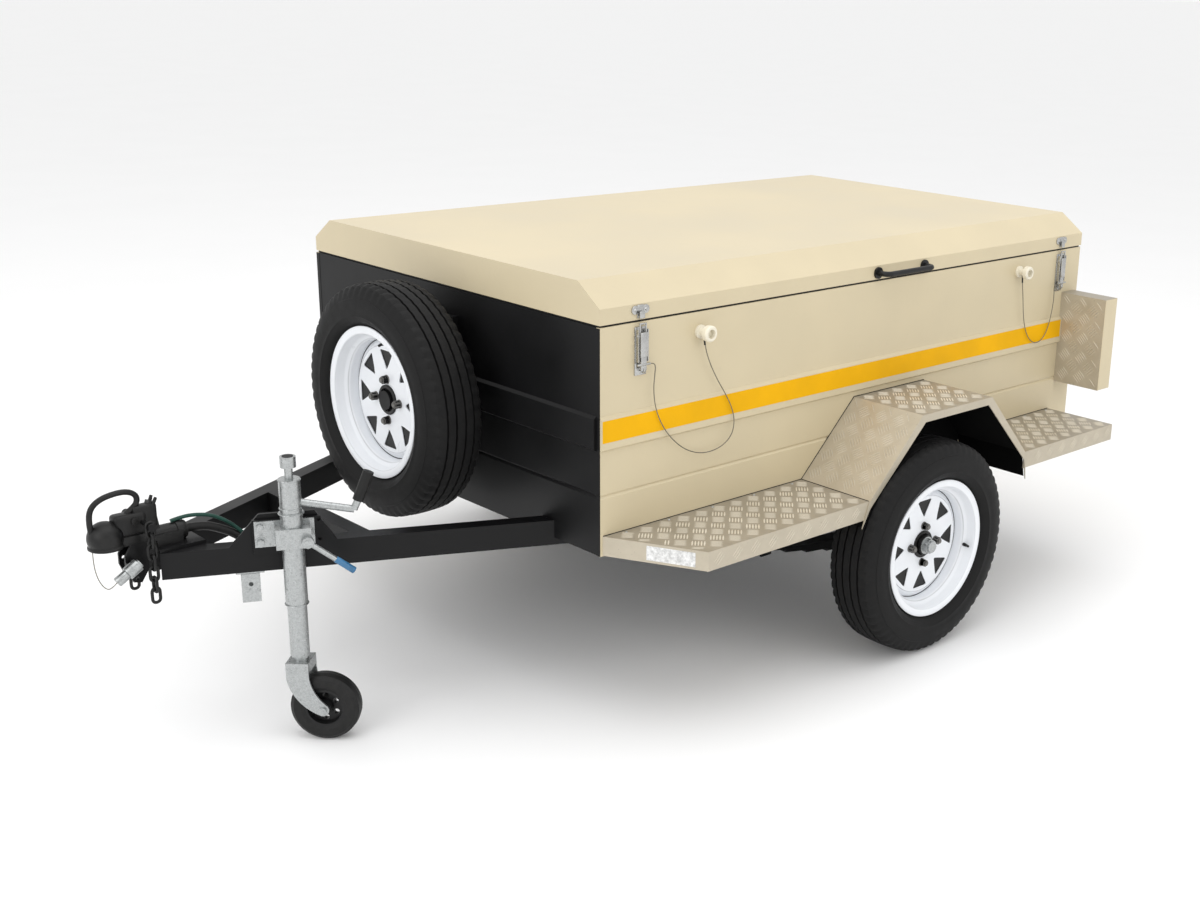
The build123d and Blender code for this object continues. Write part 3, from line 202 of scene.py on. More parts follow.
def enamelMaterial(name, look, middle, axes):  # wheel enamel with painted shade in the creases round the axle
    material = startMaterial(name, look)
    coords = objectCoords(material)
    place = addNode(material, "SeparateXYZ")
    join(material, coords, place.inputs[0])
    squares = [calc(material, "POWER", calc(material, "SUBTRACT", place.outputs[axis], value), 2.0)
               for axis, value in zip(axes, middle)]
    radius = calc(material, "SQRT", calc(material, "ADD", *squares))
    paintedCreaseShade = None
    # each dark band at a crease radius is painted shade
    for crease, width, strength in look["creases"]:
        near = calc(material, "ABSOLUTE", calc(material, "SUBTRACT", radius, crease))
        fade = calc(material, "SUBTRACT", 1.0, calc(material, "DIVIDE", near, width))
        band = calc(material, "MULTIPLY", calc(material, "MAXIMUM", fade, 0.0), strength)
        paintedCreaseShade = band if paintedCreaseShade is None else calc(material, "MAXIMUM", paintedCreaseShade, band)
    broad = noise(material, coords, look["patches"], 4.0)
    creaseShadeAmount = calc(material, "MULTIPLY", paintedCreaseShade, greyRamp(material, broad, 0.35, 1.0))
    toned = ramp(material, broad, [(0.3, [c * 0.96 for c in look["colour"]]), (0.7, look["colour"])])
    setColour(material, mixColour(material, creaseShadeAmount, toned, look["paintedCreaseShade"]))
    setRoughness(material, look, broad, 0.05, 0.1)
    addBump(material, noise(material, coords, 300.0, 2.0), 0.08, 0.0006)
    return material


def rubberMaterial(name, look):
    material = startMaterial(name, look)
    coords = objectCoords(material)
    chalk = noise(material, coords, look["chalkScale"], 7.0, 0.7)
    setColour(material, ramp(material, chalk, [(0.35, look["colour"]), (0.8, look["chalk"])]))
    setRoughness(material, look, chalk, 0.08, 0.12)
    addBump(material, noise(material, coords, 900.0, 2.0), 0.18, 0.0004)
    return material


def castMaterial(name, look):  # sand-cast skin under black paint
    material = startMaterial(name, look)
    coords = objectCoords(material)
    patches = noise(material, coords, 30.0, 4.0)
    setColour(material, ramp(material, patches, [(0.35, look["colour"]), (0.75, look["rub"])]))
    setRoughness(material, look, patches, 0.1, 0.12)
    addBump(material, noise(material, coords, look["grain"], 6.0, 0.7), 0.5, 0.0008)
    return material


def lensMaterial(name, look):  # ribbed moulding
    material = startMaterial(name, look)
    coords = objectCoords(material)
    place = addNode(material, "SeparateXYZ")
    join(material, coords, place.inputs[0])
    ribs = calc(material, "SINE", calc(material, "MULTIPLY", place.outputs[1], 2 * math.pi / look["rib"]))
    tone = noise(material, coords, 60.0, 2.0)
    setColour(material, ramp(material, tone, [(0.3, look["colour"]), (0.7, look["deep"])]))
    addBump(material, ribs, 0.6, 0.001)
    return material


def readTable(keys, rows):  # one dictionary for each row
    return {name: dict(zip(keys.split(), values)) for name, values in rows.items()}


paintLooks = readTable("colour roughness patches peel variation dust dustColour bump coat specular", {
    "beigePaint": ((0.6, 0.515, 0.345), 0.46, 2.6, 420.0, 0.05, 0.25, (0.5, 0.43, 0.31), 0.12, 0.1, 0.5),
    "blackPaint": ((0.0052, 0.0052, 0.0056), 0.42, 4.0, 380.0, 0.25, 0.12, (0.022, 0.021, 0.02), 0.14, 0.0, 0.22),
    "innerBlack": ((0.002, 0.002, 0.002), 0.8, 6.0, 90.0, 0.3, 0.15, (0.012, 0.011, 0.01), 0.3, 0.0, 0.08),
    "yellowTape": ((0.8, 0.42, 0.004), 0.55, 7.0, 260.0, 0.07, 0.12, (0.8, 0.45, 0.04), 0.05, 0.0, 0.1),
    "whiteReflector": ((0.66, 0.66, 0.65), 0.4, 130.0, 500.0, 0.3, 0.9, (0.3, 0.25, 0.22), 0.15, 0.0, 0.5),
    "creamPlastic": ((0.76, 0.71, 0.58), 0.34, 20.0, 300.0, 0.05, 0.25, (0.55, 0.48, 0.36), 0.06, 0.2, 0.5),
    "greenSheath": ((0.008, 0.05, 0.036), 0.38, 30.0, 400.0, 0.2, 0.2, (0.03, 0.06, 0.05), 0.08, 0.0, 0.3),
    "blueGrip": ((0.035, 0.15, 0.3), 0.3, 40.0, 300.0, 0.2, 0.3, (0.14, 0.22, 0.3), 0.06, 0.2, 0.5),
})
zincLooks = readTable("colour roughness metallic crystals spots contrast spotting stain", {
    "zincSteel": ((0.41, 0.425, 0.425), 0.26, 0.85, 420.0, 110.0, 0.1, 0.95, (0.16, 0.165, 0.165)),
    "chromeSteel": ((0.46, 0.46, 0.45), 0.2, 0.95, 900.0, 120.0, 0.04, 0.45, (0.34, 0.32, 0.29)),
    "nutSteel": ((0.17, 0.165, 0.155), 0.36, 0.85, 700.0, 260.0, 0.15, 0.8, (0.05, 0.04, 0.03)),
    "wireSteel": ((0.2, 0.185, 0.15), 0.42, 0.7, 900.0, 300.0, 0.15, 0.7, (0.1, 0.09, 0.07)),
})
# the two level tones are painted shade on faces that look up
treadLooks = readTable("colour shade flat flatShade pit roughness metallic", {
    "treadPlate": ((0.53, 0.475, 0.375), (0.45, 0.4, 0.31), (0.4, 0.36, 0.29), (0.33, 0.295, 0.235),
        (0.16, 0.13, 0.1), 0.45, 0.35),
    "treadBar": ((0.6, 0.545, 0.44), (0.52, 0.47, 0.375), (0.5, 0.465, 0.39), (0.42, 0.39, 0.325), (0.3, 0.26, 0.2),
        0.4, 0.35),
    # this row is a painted glint for the bars of one turn
    "paintedGlintTread": ((0.84, 0.8, 0.7), (0.74, 0.69, 0.59), (0.84, 0.8, 0.71), (0.7, 0.65, 0.56), (0.45, 0.4, 0.33),
        0.33, 0.3),
})
# the dark colour and the crease bands paint shade into the rims' creases
wheelLook = {
    "colour": (0.82, 0.84, 0.87), "roughness": 0.32, "patches": 8.0, "paintedCreaseShade": (0.1, 0.1, 0.11),
    "creases": [(0.1296, 0.0013, 0.9), (0.1492, 0.0022, 0.55), (0.0318, 0.0022, 0.7), (0.164, 0.0016, 0.35)]
}
rubberLooks = readTable("colour chalk roughness chalkScale specular", {
    "tyreRubber": ((0.0045, 0.0045, 0.0047), (0.0115, 0.0112, 0.011), 0.6, 26.0, 0.2),
    "softRubber": ((0.006, 0.006, 0.006), (0.018, 0.0175, 0.017), 0.5, 60.0, 0.28),
    "blackPlastic": ((0.006, 0.006, 0.0065), (0.014, 0.014, 0.014), 0.38, 50.0, 0.3),
})
paints = {name: paintMaterial(name, look) for name, look in paintLooks.items()}
zincSteel, chromeSteel, nutSteel, wireSteel = [zincMaterial(name, look) for name, look in zincLooks.items()]
treadPlate, treadBar, paintedGlintTread = [treadMaterial(name, look) for name, look in treadLooks.items()]
roadEnamel = enamelMaterial("roadEnamel", wheelLook, (axleX, wheelZ), (0, 2))
spareEnamel = enamelMaterial("spareEnamel", wheelLook, (0.0, spareZ), (1, 2))
tyreRubber, softRubber, blackPlastic = [rubberMaterial(name, look) for name, look in rubberLooks.items()]
castBlack = castMaterial("castBlack", {
    "colour": (0.0045, 0.0045, 0.0045), "rub": (0.016, 0.0155, 0.015), "roughness": 0.4, "grain": 260.0,
    "specular": 0.3})
redLens = lensMaterial("redLens", {
    "colour": (0.45, 0.012, 0.008), "deep": (0.3, 0.006, 0.004), "roughness": 0.2, "rib": 0.006, "coat": 0.5})

nodeFinishes = [
    (paints["blackPaint"], "drawbar_rails drawbar_crossmembers chain_bracket jack_bracket chassis_frame floor_pan "
                           "front_panel axle_beam leaf_springs spring_hangers spare_carrier"),
    (paints["innerBlack"], "arch_liners"),
    (paints["beigePaint"], "side_panel_left side_panel_right corner_posts lid_shell tailgate_panel"),
    (treadPlate, "front_boards rear_boards mudguards lamp_housings"),
    (zincSteel, "lock_pin jack_clamp jack_clamp_lever prop_socket body_hinges lid_hinges gate_hinges "
                "tailgate_latches jack_outer_tube jack_crank jack_inner_tube caster_fork"),
    (chromeSteel, "latches latch_keepers"),
    (roadEnamel, "left_rim right_rim"),
    (spareEnamel, "spare_rim"),
    (tyreRubber, "left_tyre right_tyre spare_tyre"),
    (softRubber, "jockey_tyre jack_crank_grip brake_hose"),
    (blackPlastic, "lid_handle jockey_rim"),
    (paints["creamPlastic"], "tie_knobs"),
    (redLens, "tail_lamps"),
    (castBlack, "coupler_body coupler_handle safety_chains left_hub right_hub"),
    (paints["greenSheath"], "wiring_cable"),
    (wireSteel, "lanyard_front lanyard_rear pin_lanyard"),
]
for finish, names in nodeFinishes:
    for name in names.split():
        cadNode = nodes[name]
        cadNode.data.materials.clear()
        cadNode.data.materials.append(finish)
print("materials set")


# small tools for mesh pieces
def addObject(name, data):
    made = bpy.data.objects.new(name, data)
    bpy.context.scene.collection.objects.link(made)
    return made


def addPiece(name, data, body):
    piece = addObject(name, data)
    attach(piece, body)
    return piece


def newObject(name, bm, material, body, sharp=35):
    mesh = bpy.data.meshes.new(name)
    bm.to_mesh(mesh)
    bm.free()
    for face in mesh.polygons:
        face.use_smooth = True
    mesh.set_sharp_from_angle(angle=math.radians(sharp))
    mesh.materials.append(material)
    return addPiece(name, mesh, body)


def bevelEdges(bm, edges, offset, segments):
    bmesh.ops.bevel(bm, geom=list(edges), offset=offset, offset_type="OFFSET", affect="EDGES", segments=segments,
                    profile=0.5, material=-1)


def addBlock(bm, low, high, bevel=0.0, segments=2):
    middle = [(a + b) / 2 for a, b in zip(low, high)]
    sides = [abs(b - a) for a, b in zip(low, high)]
    made = bmesh.ops.create_cube(bm, size=1.0, matrix=Matrix.Translation(middle) @ Matrix.Diagonal((*sides, 1)))
    if bevel:
        edges = {edge for vert in made["verts"] for edge in vert.link_edges}
        bevelEdges(bm, edges, bevel, segments)


def addRod(bm, start, end, radius, sides=24, endRadius=None, bevel=0.0):
    start, end = Vector(start), Vector(end)
    way = end - start
    turn = way.to_track_quat("Z", "Y").to_matrix().to_4x4()
    made = bmesh.ops.create_cone(bm, cap_ends=True, segments=sides, radius1=radius,
                                 radius2=radius if endRadius is None else endRadius, depth=way.length,
                                 matrix=Matrix.Translation((start + end) / 2) @ turn)
    if bevel:
        rims = {edge for vert in made["verts"] for edge in vert.link_edges
                if any(len(face.verts) > 4 for face in edge.link_faces)}
        bevelEdges(bm, rims, bevel, 2)


def addParts(bm, place, blocks, rods):  # lists of corners or ends from one place, each with its shape
    for make, parts in ((addBlock, blocks), (addRod, rods)):
        for first, last, *shape in parts:
            make(bm, *[[a + b for a, b in zip(place, end)] for end in (first, last)], *shape)


def addPair(bm, low, high, *shape):  # one block on the left and its mirror image
    for side in (1, -1):
        addBlock(bm, (low[0], side * low[1], low[2]), (high[0], side * high[1], high[2]), *shape)


def addLathe(bm, centre, axis, across, profile, steps):
    centre, axis, across = Vector(centre), Vector(axis).normalized(), Vector(across).normalized()
    verts = [bm.verts.new(centre + axis * along + across * radius) for along, radius in profile]
    edges = [bm.edges.new(pair) for pair in zip(verts, verts[1:] + verts[:1])]
    bmesh.ops.spin(bm, geom=verts + edges, cent=centre, axis=axis, angle=2 * math.pi, steps=steps, use_merge=True)
    bmesh.ops.remove_doubles(bm, verts=bm.verts[:], dist=0.00001)
    bmesh.ops.recalc_face_normals(bm, faces=bm.faces[:])


def mirrored(section):
    return [(-along, radius) for along, radius in reversed(section)]


def addRing(bm, centre, axis, across, radius, wire, steps, sides):
    section = [(wire * math.cos(2 * math.pi * k / sides), radius + wire * math.sin(2 * math.pi * k / sides))
               for k in range(sides)]
    addLathe(bm, centre, axis, across, section, steps)


def tubeCurve(name, routes, diameter, material, body, cyclic=False, smoothness=6):
    data = bpy.data.curves.new(name, "CURVE")
    data.dimensions = "3D"
    data.bevel_depth = diameter / 2
    data.bevel_resolution = 3
    data.resolution_u = smoothness
    data.use_fill_caps = True
    for route in routes:
        spline = data.splines.new("NURBS")
        spline.points.add(len(route) - 1)
        for point, place in zip(spline.points, route):
            point.co = (*place, 1.0)
        spline.order_u = 3
        if cyclic:
            spline.use_cyclic_u = True
        else:
            spline.use_endpoint_u = True
    data.materials.append(material)
    return addPiece(name, data, body)


# camera and light
view = {
    "place": (2.56817, 3.12276, 1.66605), "yaw": 224.03438, "pitch": -17.81435, "roll": 1.89317,
    "focal": 1548.788, "centre": (767.266, 475.004), "frame": (1200, 900), "sensor": 36.0, "reach": 400
}


def makeCamera(look):
    data = bpy.data.cameras.new("photoCamera")
    camera = addObject("photoCamera", data)
    yaw, pitch, roll = (math.radians(look[name]) for name in ("yaw", "pitch", "roll"))
    forward = Vector((math.cos(yaw) * math.cos(pitch), math.sin(yaw) * math.cos(pitch), math.sin(pitch)))
    level = forward.cross(Vector((0, 0, 1))).normalized()
    upright = level.cross(forward)
    right = level * math.cos(roll) + upright * math.sin(roll)
    up = upright * math.cos(roll) - level * math.sin(roll)
    turn = Matrix((right, up, -forward)).transposed()
    camera.matrix_world = Matrix.Translation(look["place"]) @ turn.to_4x4()
    wide, high = look["frame"]
    data.sensor_fit = "HORIZONTAL"
    data.sensor_width = look["sensor"]
    data.lens = look["focal"] / wide * look["sensor"]
    data.shift_x = (wide / 2 - look["centre"][0]) / wide
    data.shift_y = (look["centre"][1] - high / 2) / wide
    data.clip_end = look["reach"]
    bpy.context.scene.camera = camera


makeCamera(view)

studio = {
    "sky": (1.0, 1.0, 1.0), "skyStrength": 0.95, "floor": (0.94, 0.94, 0.94), "floorSize": 240.0,
    "lamps": [("topLight", (0.2, 0.6, 5.5), 6.0, 110, (0, 0, 0)),
        ("frontLight", (5.5, 1.2, 3.2), 4.0, 70, (0.6, 0, 0.5)),
        ("sideLight", (-1.0, 6.5, 3.4), 5.0, 45, (-0.4, 0.5, 0.4))]
}


def makeStudio(look):
    world = bpy.data.worlds.new("softSky")
    world.use_nodes = True
    sky = world.node_tree.nodes["Background"]
    sky.inputs["Color"].default_value = (*look["sky"], 1)
    sky.inputs["Strength"].default_value = look["skyStrength"]
    bpy.context.scene.world = world
    bm = bmesh.new()
    bmesh.ops.create_grid(bm, x_segments=2, y_segments=2, size=look["floorSize"])
    mesh = bpy.data.meshes.new("studioFloor")
    bm.to_mesh(mesh)
    bm.free()
    floorMaterial = startMaterial("studioFloorPaint", {"colour": look["floor"], "roughness": 0.75})
    patches = noise(floorMaterial, objectCoords(floorMaterial), 1.5, 2.0)
    setColour(floorMaterial, ramp(floorMaterial, patches, [(0.3, [c * 0.99 for c in look["floor"]]),
                                                           (0.7, look["floor"])]))
    mesh.materials.append(floorMaterial)
    addObject("studioFloor", mesh)
    for name, place, size, power, aim in look["lamps"]:
        data = bpy.data.lights.new(name, "AREA")
        data.shape = "DISK"
        data.size = size
        data.energy = power
        lamp = addObject(name, data)
        lamp.location = place
        lamp.rotation_euler = (Vector(aim) - Vector(place)).to_track_quat("-Z", "Y").to_euler()
    bpy.context.scene.view_settings.view_transform = "Standard"
    bpy.context.scene.view_settings.look = "None"


makeStudio(studio)
print("camera and studio made")

# wire lanyards: the part's own routes, in metres
lanyards = {"out": boxHalf + 0.014, "wire": 0.0024, "sleeve": 0.0022, "sleeveFrom": -0.001, "sleeveTo": 0.021}
frontRoute = [
    (0.601, 0.8797), (0.597, 0.853), (0.581, 0.813), (0.557, 0.772), (0.53, 0.734), (0.507, 0.697), (0.496, 0.661),
    (0.503, 0.628), (0.53, 0.607), (0.57, 0.598), (0.613, 0.602), (0.656, 0.62), (0.695, 0.651), (0.727, 0.69),
    (0.748, 0.735), (0.754, 0.781), (0.75, 0.815), (0.748, 0.833), (0.755, 0.841), (0.7677, 0.841)
]
rearRoute = [
    (-0.634, 0.8847), (-0.637, 0.859), (-0.645, 0.823), (-0.651, 0.784), (-0.66, 0.745), (-0.677, 0.709),
    (-0.703, 0.683), (-0.735, 0.674), (-0.764, 0.686), (-0.784, 0.715), (-0.795, 0.752), (-0.801, 0.79),
    (-0.8, 0.816), (-0.799, 0.832), (-0.806, 0.84), (-0.8187, 0.84)
]


def splineLength(piece):
    evaluated = piece.copy()
    evaluated.data = piece.data.copy()
    evaluated.data.bevel_depth = 0
    mesh = bpy.data.meshes.new_from_object(evaluated)
    places = [vert.co.copy() for vert in mesh.vertices]
    bpy.data.objects.remove(evaluated)
    return sum((b - a).length for a, b in zip(places, places[1:]))


for name, node, route, length in (("frontLanyard", "lanyard_front", frontRoute, 0.71),
                                  ("rearLanyard", "lanyard_rear", rearRoute, 0.457)):
    points = [(datumX + x, lanyards["out"], z) for x, z in route]
    wire = tubeCurve(name, [points], lanyards["wire"], wireSteel, "trailer")
    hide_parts(node)
    bm = bmesh.new()
    start = Vector(points[0])
    way = (Vector(points[1]) - start).normalized()
    addRod(bm, start + way * lanyards["sleeveFrom"], start + way * lanyards["sleeveTo"], lanyards["sleeve"], 16,
           bevel=0.0005)
    sleeve = newObject(name + "Sleeve", bm, blackPlastic, "trailer")
    print(name, "length", round(splineLength(wire), 4))

pinRoute = [
    (1.787, 0, 0.4737), (1.789, 0.004, 0.453), (1.79, 0.011, 0.433), (1.7885, 0.02, 0.415), (1.784, 0.029, 0.402),
    (1.777, 0.036, 0.395), (1.768, 0.038, 0.398), (1.757856, 0.038, 0.406444)
]
pinPoints = [(datumX + x, y, z) for x, y, z in pinRoute]
pinWire = tubeCurve("pinWire", [pinPoints], 0.002, wireSteel, "trailer")
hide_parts("pin_lanyard")
print("pinWire length", round(splineLength(pinWire), 4))

# brake hose, wiring cable and loop handle: held forms of the coupling, through the part's own points
tubes = [
    ("brakeHoseTube", "brake_hose", 0.0195, softRubber, "black_rubber",
        [(1.585, 0, 0.479), (1.545, 0.006, 0.479), (1.515, 0.018, 0.468), (1.49, 0.032, 0.455), (1.468, 0.052, 0.436),
        (1.457, 0.075, 0.422), (1.452, 0.098, 0.419)]),
    ("wiringCableTube", "wiring_cable", 0.0085, paints["greenSheath"], "green_sheath",
        [(1.615, 0, 0.502), (1.59, 0.002, 0.507), (1.56, 0.006, 0.5065), (1.53, 0.014, 0.501), (1.503, 0.026, 0.486),
        (1.48, 0.04, 0.464), (1.464, 0.062, 0.44), (1.456, 0.1, 0.437)]),
    ("loopHandle", "coupler_handle", 0.0125, castBlack, "cast_black",
        [(1.786, 0, 0.513), (1.7885, 0, 0.54), (1.783, 0, 0.567), (1.762, 0, 0.583), (1.73, 0, 0.5895),
        (1.702, 0, 0.5885), (1.684, 0, 0.577), (1.683, 0, 0.56), (1.696, 0, 0.548), (1.711, 0, 0.539),
        (1.714, 0, 0.527)])
]
for name, node, thick, finish, slotName, route in tubes:
    tube = tubeCurve(name, [[(datumX + x, y, z) for x, y, z in route]], thick, finish, "trailer")
    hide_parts(node)
print("hose, cable and handle made")

# tyres with grooves, ribs and notches
tyre = {
    "steps": 192, "treadRadius": 0.255, "treadHalf": 0.069, "crownRadius": 0.278, "crownHalf": 0.05,
    "shoulder": (0.044, 0.0668), "notch": 0.004,
    "ribs": [(0.004, 0.016, 1, 0.0012), (0.03, 0.04, 2, 0.0018)]
}
tyreHalf = [
    (0.0, 0.281), (0.0098, 0.2809), (0.0104, 0.2745), (0.0146, 0.2745), (0.0152, 0.2808), (0.0328, 0.2799),
    (0.0334, 0.2738), (0.0376, 0.2736), (0.0382, 0.2795), (0.048, 0.2786), (0.057, 0.2752), (0.0622, 0.269),
    (0.0662, 0.2602), (0.0696, 0.25), (0.07, 0.2476), (0.0716, 0.2468), (0.0736, 0.239), (0.0748, 0.229),
    (0.075, 0.22), (0.0744, 0.2115), (0.075, 0.2096), (0.075, 0.206), (0.0734, 0.204), (0.0706, 0.197),
    (0.065, 0.1905), (0.06, 0.1872), (0.0567, 0.1848), (0.0567, 0.1663), (0.0447, 0.1663), (0.0447, 0.1865),
    (0.06, 0.2025), (0.064, 0.2235), (0.06, 0.2485), (0.049, 0.261), (0.03, 0.268), (0.0, 0.27)
]


def treadDepth(along, radius, step):  # notches turn from rib to rib
    if tyre["shoulder"][0] < along < tyre["shoulder"][1] and step == 0:
        return tyre["notch"]
    for low, high, turn, depth in tyre["ribs"]:
        if low < along < high and radius > tyre["crownRadius"] and step == turn:
            return depth
    return 0.0


def makeTyre(name, centre, axis, body, node):
    bm = bmesh.new()
    centre, axis, across = Vector(centre), Vector(axis), Vector((0, 0, 1))
    side = axis.cross(across)
    addLathe(bm, centre, axis, across, tyreHalf + mirrored(tyreHalf[1:-1]), tyre["steps"])
    for vert in bm.verts:
        place = vert.co - centre
        along = abs(place.dot(axis))
        high, wide = place.dot(across), place.dot(side)
        radius = math.hypot(high, wide)
        if radius < tyre["treadRadius"] or along > tyre["treadHalf"]:
            continue
        depth = treadDepth(along, radius, round(math.atan2(wide, high) / (2 * math.pi) * tyre["steps"]) % 3)
        if depth:
            inward = place.normalized() if along < tyre["crownHalf"] else (across * high + side * wide) / radius
            vert.co -= inward * depth
    piece = newObject(name, bm, tyreRubber, body, 28)
    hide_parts(node)


wheels = [
    ("left", (axleX, wheelY, wheelZ), (0, 1, 0), "wheel_left", roadEnamel, -102),
    ("right", (axleX, -wheelY, wheelZ), (0, -1, 0), "wheel_right", roadEnamel, -102),
    ("spare", (datumX + 1.048, 0, spareZ), (1, 0, 0), "trailer", spareEnamel, -14)
]
for name, centre, axis, body, enamel, valveAngle in wheels:
    makeTyre(name + "Tread", centre, axis, body, name + "_tyre")
print("tyres made")

# rims: a rolled barrel, a pressed disc with windows, dark rings that stand in for shade behind the windows and in the
# creases with one round the hub, nuts and a valve; along the axle and from it
flange = [
    (0.0545, 0.1662), (0.0568, 0.169), (0.057, 0.178), (0.0576, 0.1806), (0.0594, 0.1823), (0.0612, 0.1818),
    (0.062, 0.1796), (0.0618, 0.174), (0.0606, 0.1662), (0.0592, 0.1632), (0.056, 0.1618)
]
barrelOuter = [
    (-0.002, 0.15), (0.02, 0.15), (0.0265, 0.1506), (0.0295, 0.1535), (0.0345, 0.16), (0.0375, 0.1628),
    (0.048, 0.1648)
]
barrelInner = [
    (0.039, 0.1592), (0.0365, 0.1575), (0.032, 0.15), (0.0295, 0.1468), (0.026, 0.146), (-0.002, 0.146),
    (-0.01, 0.146), (-0.0135, 0.1468), (-0.02, 0.156), (-0.024, 0.1592)
]
barrelBack = [(-0.0235, 0.163), (-0.02, 0.1615), (-0.013, 0.151), (-0.011, 0.15)]
barrel = barrelOuter + flange + barrelInner + mirrored(flange) + barrelBack
discSection = [
    (-0.0015, 0.146), (0.0022, 0.146), (0.006, 0.1418), (0.0112, 0.1345), (0.0134, 0.1308), (0.0128, 0.1298),
    (0.014, 0.1284), (0.014, 0.088), (0.0148, 0.08), (0.015, 0.042), (0.0138, 0.0345), (0.0128, 0.031),
    (0.0112, 0.0305), (0.0124, 0.0345), (0.0124, 0.124), (0.0075, 0.13), (0.001, 0.139)
]
# the backing behind the windows and the two crease lines stand in for shade; the second ring goes round the hub
shadeAndHubRingSections = [
    (64, [(-0.04, 0.067), (0.0116, 0.067), (0.0116, 0.1205), (0.0076, 0.1245), (-0.04, 0.1245)]),
    (48, [(0.0142, 0.0285), (0.0142, 0.0362), (0.0172, 0.0362), (0.0186, 0.0346), (0.0186, 0.0285)]),
    (96, [(0.0016, 0.144), (0.0044, 0.1446), (0.0044, 0.1462), (0.0016, 0.1462)]),
    (96, [(0.0552, 0.1655), (0.0574, 0.1684), (0.0574, 0.1708), (0.056, 0.1708)])
]
window = {"count": 8, "near": 0.072, "far": 0.119, "base": 0.057, "corner": 0.006, "along": 0.012, "depth": 0.02}
valve = {
    "foot": (0.033, 0.156), "tip": (0.056, 0.147),
    "rods": [(0.0, 0.65, 0.005, 16, 0.0038, 0.0008), (0.62, 1.0, 0.0034, 16, 0.0031, 0.0006)]
}
wheelNut = {
    "count": 4, "circle": 0.05,
    "rods": [(0.0142, 0.018, 0.011, 24, 0.0102), (0.0175, 0.0296, 0.01, 6, None, 0.0009),
        (0.029, 0.0334, 0.0064, 16, None, 0.0008)]
}
spindleNut = [(0.8084, 0.8094, 0.0235, 32), (0.809, 0.8224, 0.0206, 6), (0.822, 0.8286, 0.0158, 32)]


def spokeAt(across, side, turn):
    return across * math.cos(turn) + side * math.sin(turn)


def cutWindows(disc, centre, axis, across, side):  # rounded triangles that point at the hub
    cutter = bmesh.new()
    tall = window["far"] - window["near"]
    radius = tall * 2 / 3
    stretch = window["base"] / (radius * math.sqrt(3))
    for number in range(window["count"]):
        spoke = spokeAt(across, side, number * 2 * math.pi / window["count"])
        middle = centre + spoke * (window["far"] - tall / 3) + axis * window["along"]
        turned = Matrix((-spoke, axis.cross(spoke) * stretch, axis)).transposed().to_4x4()
        turned = Matrix.Translation(middle) @ turned @ Matrix.Rotation(-math.pi / 2, 4, "Z")
        made = bmesh.ops.create_cone(cutter, cap_ends=True, segments=3, radius1=radius, radius2=radius,
                                     depth=window["depth"], matrix=turned)
        upright = {edge for vert in made["verts"] for edge in vert.link_edges
                   if abs((edge.verts[0].co - edge.verts[1].co).normalized().dot(axis)) > 0.99}
        bevelEdges(cutter, upright, window["corner"], 4)
    bmesh.ops.recalc_face_normals(cutter, faces=cutter.faces[:])
    meshes = [bpy.data.meshes.new(name) for name in ("discBlank", "windowCutter")]
    disc.to_mesh(meshes[0])
    cutter.to_mesh(meshes[1])
    cutter.free()
    pieces = [addObject(mesh.name, mesh) for mesh in meshes]
    cut = pieces[0].modifiers.new("windows", "BOOLEAN")
    cut.operation = "DIFFERENCE"
    cut.solver = "EXACT"
    cut.object = pieces[1]
    bpy.context.view_layer.update()
    opened = bpy.data.meshes.new_from_object(pieces[0].evaluated_get(bpy.context.evaluated_depsgraph_get()))
    disc.clear()
    disc.from_mesh(opened)
    for piece in pieces:
        bpy.data.objects.remove(piece)
    for mesh in meshes + [opened]:
        bpy.data.meshes.remove(mesh)


def makeRim(name, centre, axis, body, enamel, valveAngle):
    centre, axis, across = Vector(centre), Vector(axis), Vector((0, 0, 1))
    side = axis.cross(across)
    bm = bmesh.new()
    addLathe(bm, centre, axis, across, discSection, 96)
    cutWindows(bm, centre, axis, across, side)
    newObject(name + "Disc", bm, enamel, body, 30)
    bm = bmesh.new()
    addLathe(bm, centre, axis, across, barrel, 128)
    piece = newObject(name + "Barrel", bm, enamel, body, 40)
    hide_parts(name + "_rim")
    bm = bmesh.new()
    spoke = spokeAt(across, side, math.radians(valveAngle))
    foot, tip = [centre + spoke * radius + axis * along for along, radius in (valve["foot"], valve["tip"])]
    for low, high, *shape in valve["rods"]:
        addRod(bm, foot.lerp(tip, low), foot.lerp(tip, high), *shape)
    newObject(name + "Valve", bm, softRubber, body)
    bm = bmesh.new()  # dark rings: a backing behind the windows and lines in the creases are painted shade, and one ring sits round the hub
    for steps, section in shadeAndHubRingSections:
        addLathe(bm, centre, axis, across, section, steps)
    newObject(name + "ShadeAndHubRings", bm, castBlack, body)
    bm = bmesh.new()
    for number in range(wheelNut["count"]):
        turn = number * 2 * math.pi / wheelNut["count"]
        seat = centre + spokeAt(across, side, turn) * wheelNut["circle"]
        for low, high, *shape in wheelNut["rods"]:
            addRod(bm, seat + axis * low, seat + axis * high, *shape)
    newObject(name + "Nuts", bm, nutSteel, body)


for name, centre, axis, body, enamel, valveAngle in wheels:
    makeRim(name, centre, axis, body, enamel, valveAngle)

bm = bmesh.new()  # spindle nuts and their washers, which stay still as the wheels turn
for side in (1, -1):
    for low, high, radius, sides in spindleNut:
        addRod(bm, (axleX, side * low, wheelZ), (axleX, side * high, wheelZ), radius, sides, bevel=0.001)
newObject("spindleNuts", bm, zincSteel, "trailer")
print("rims made")

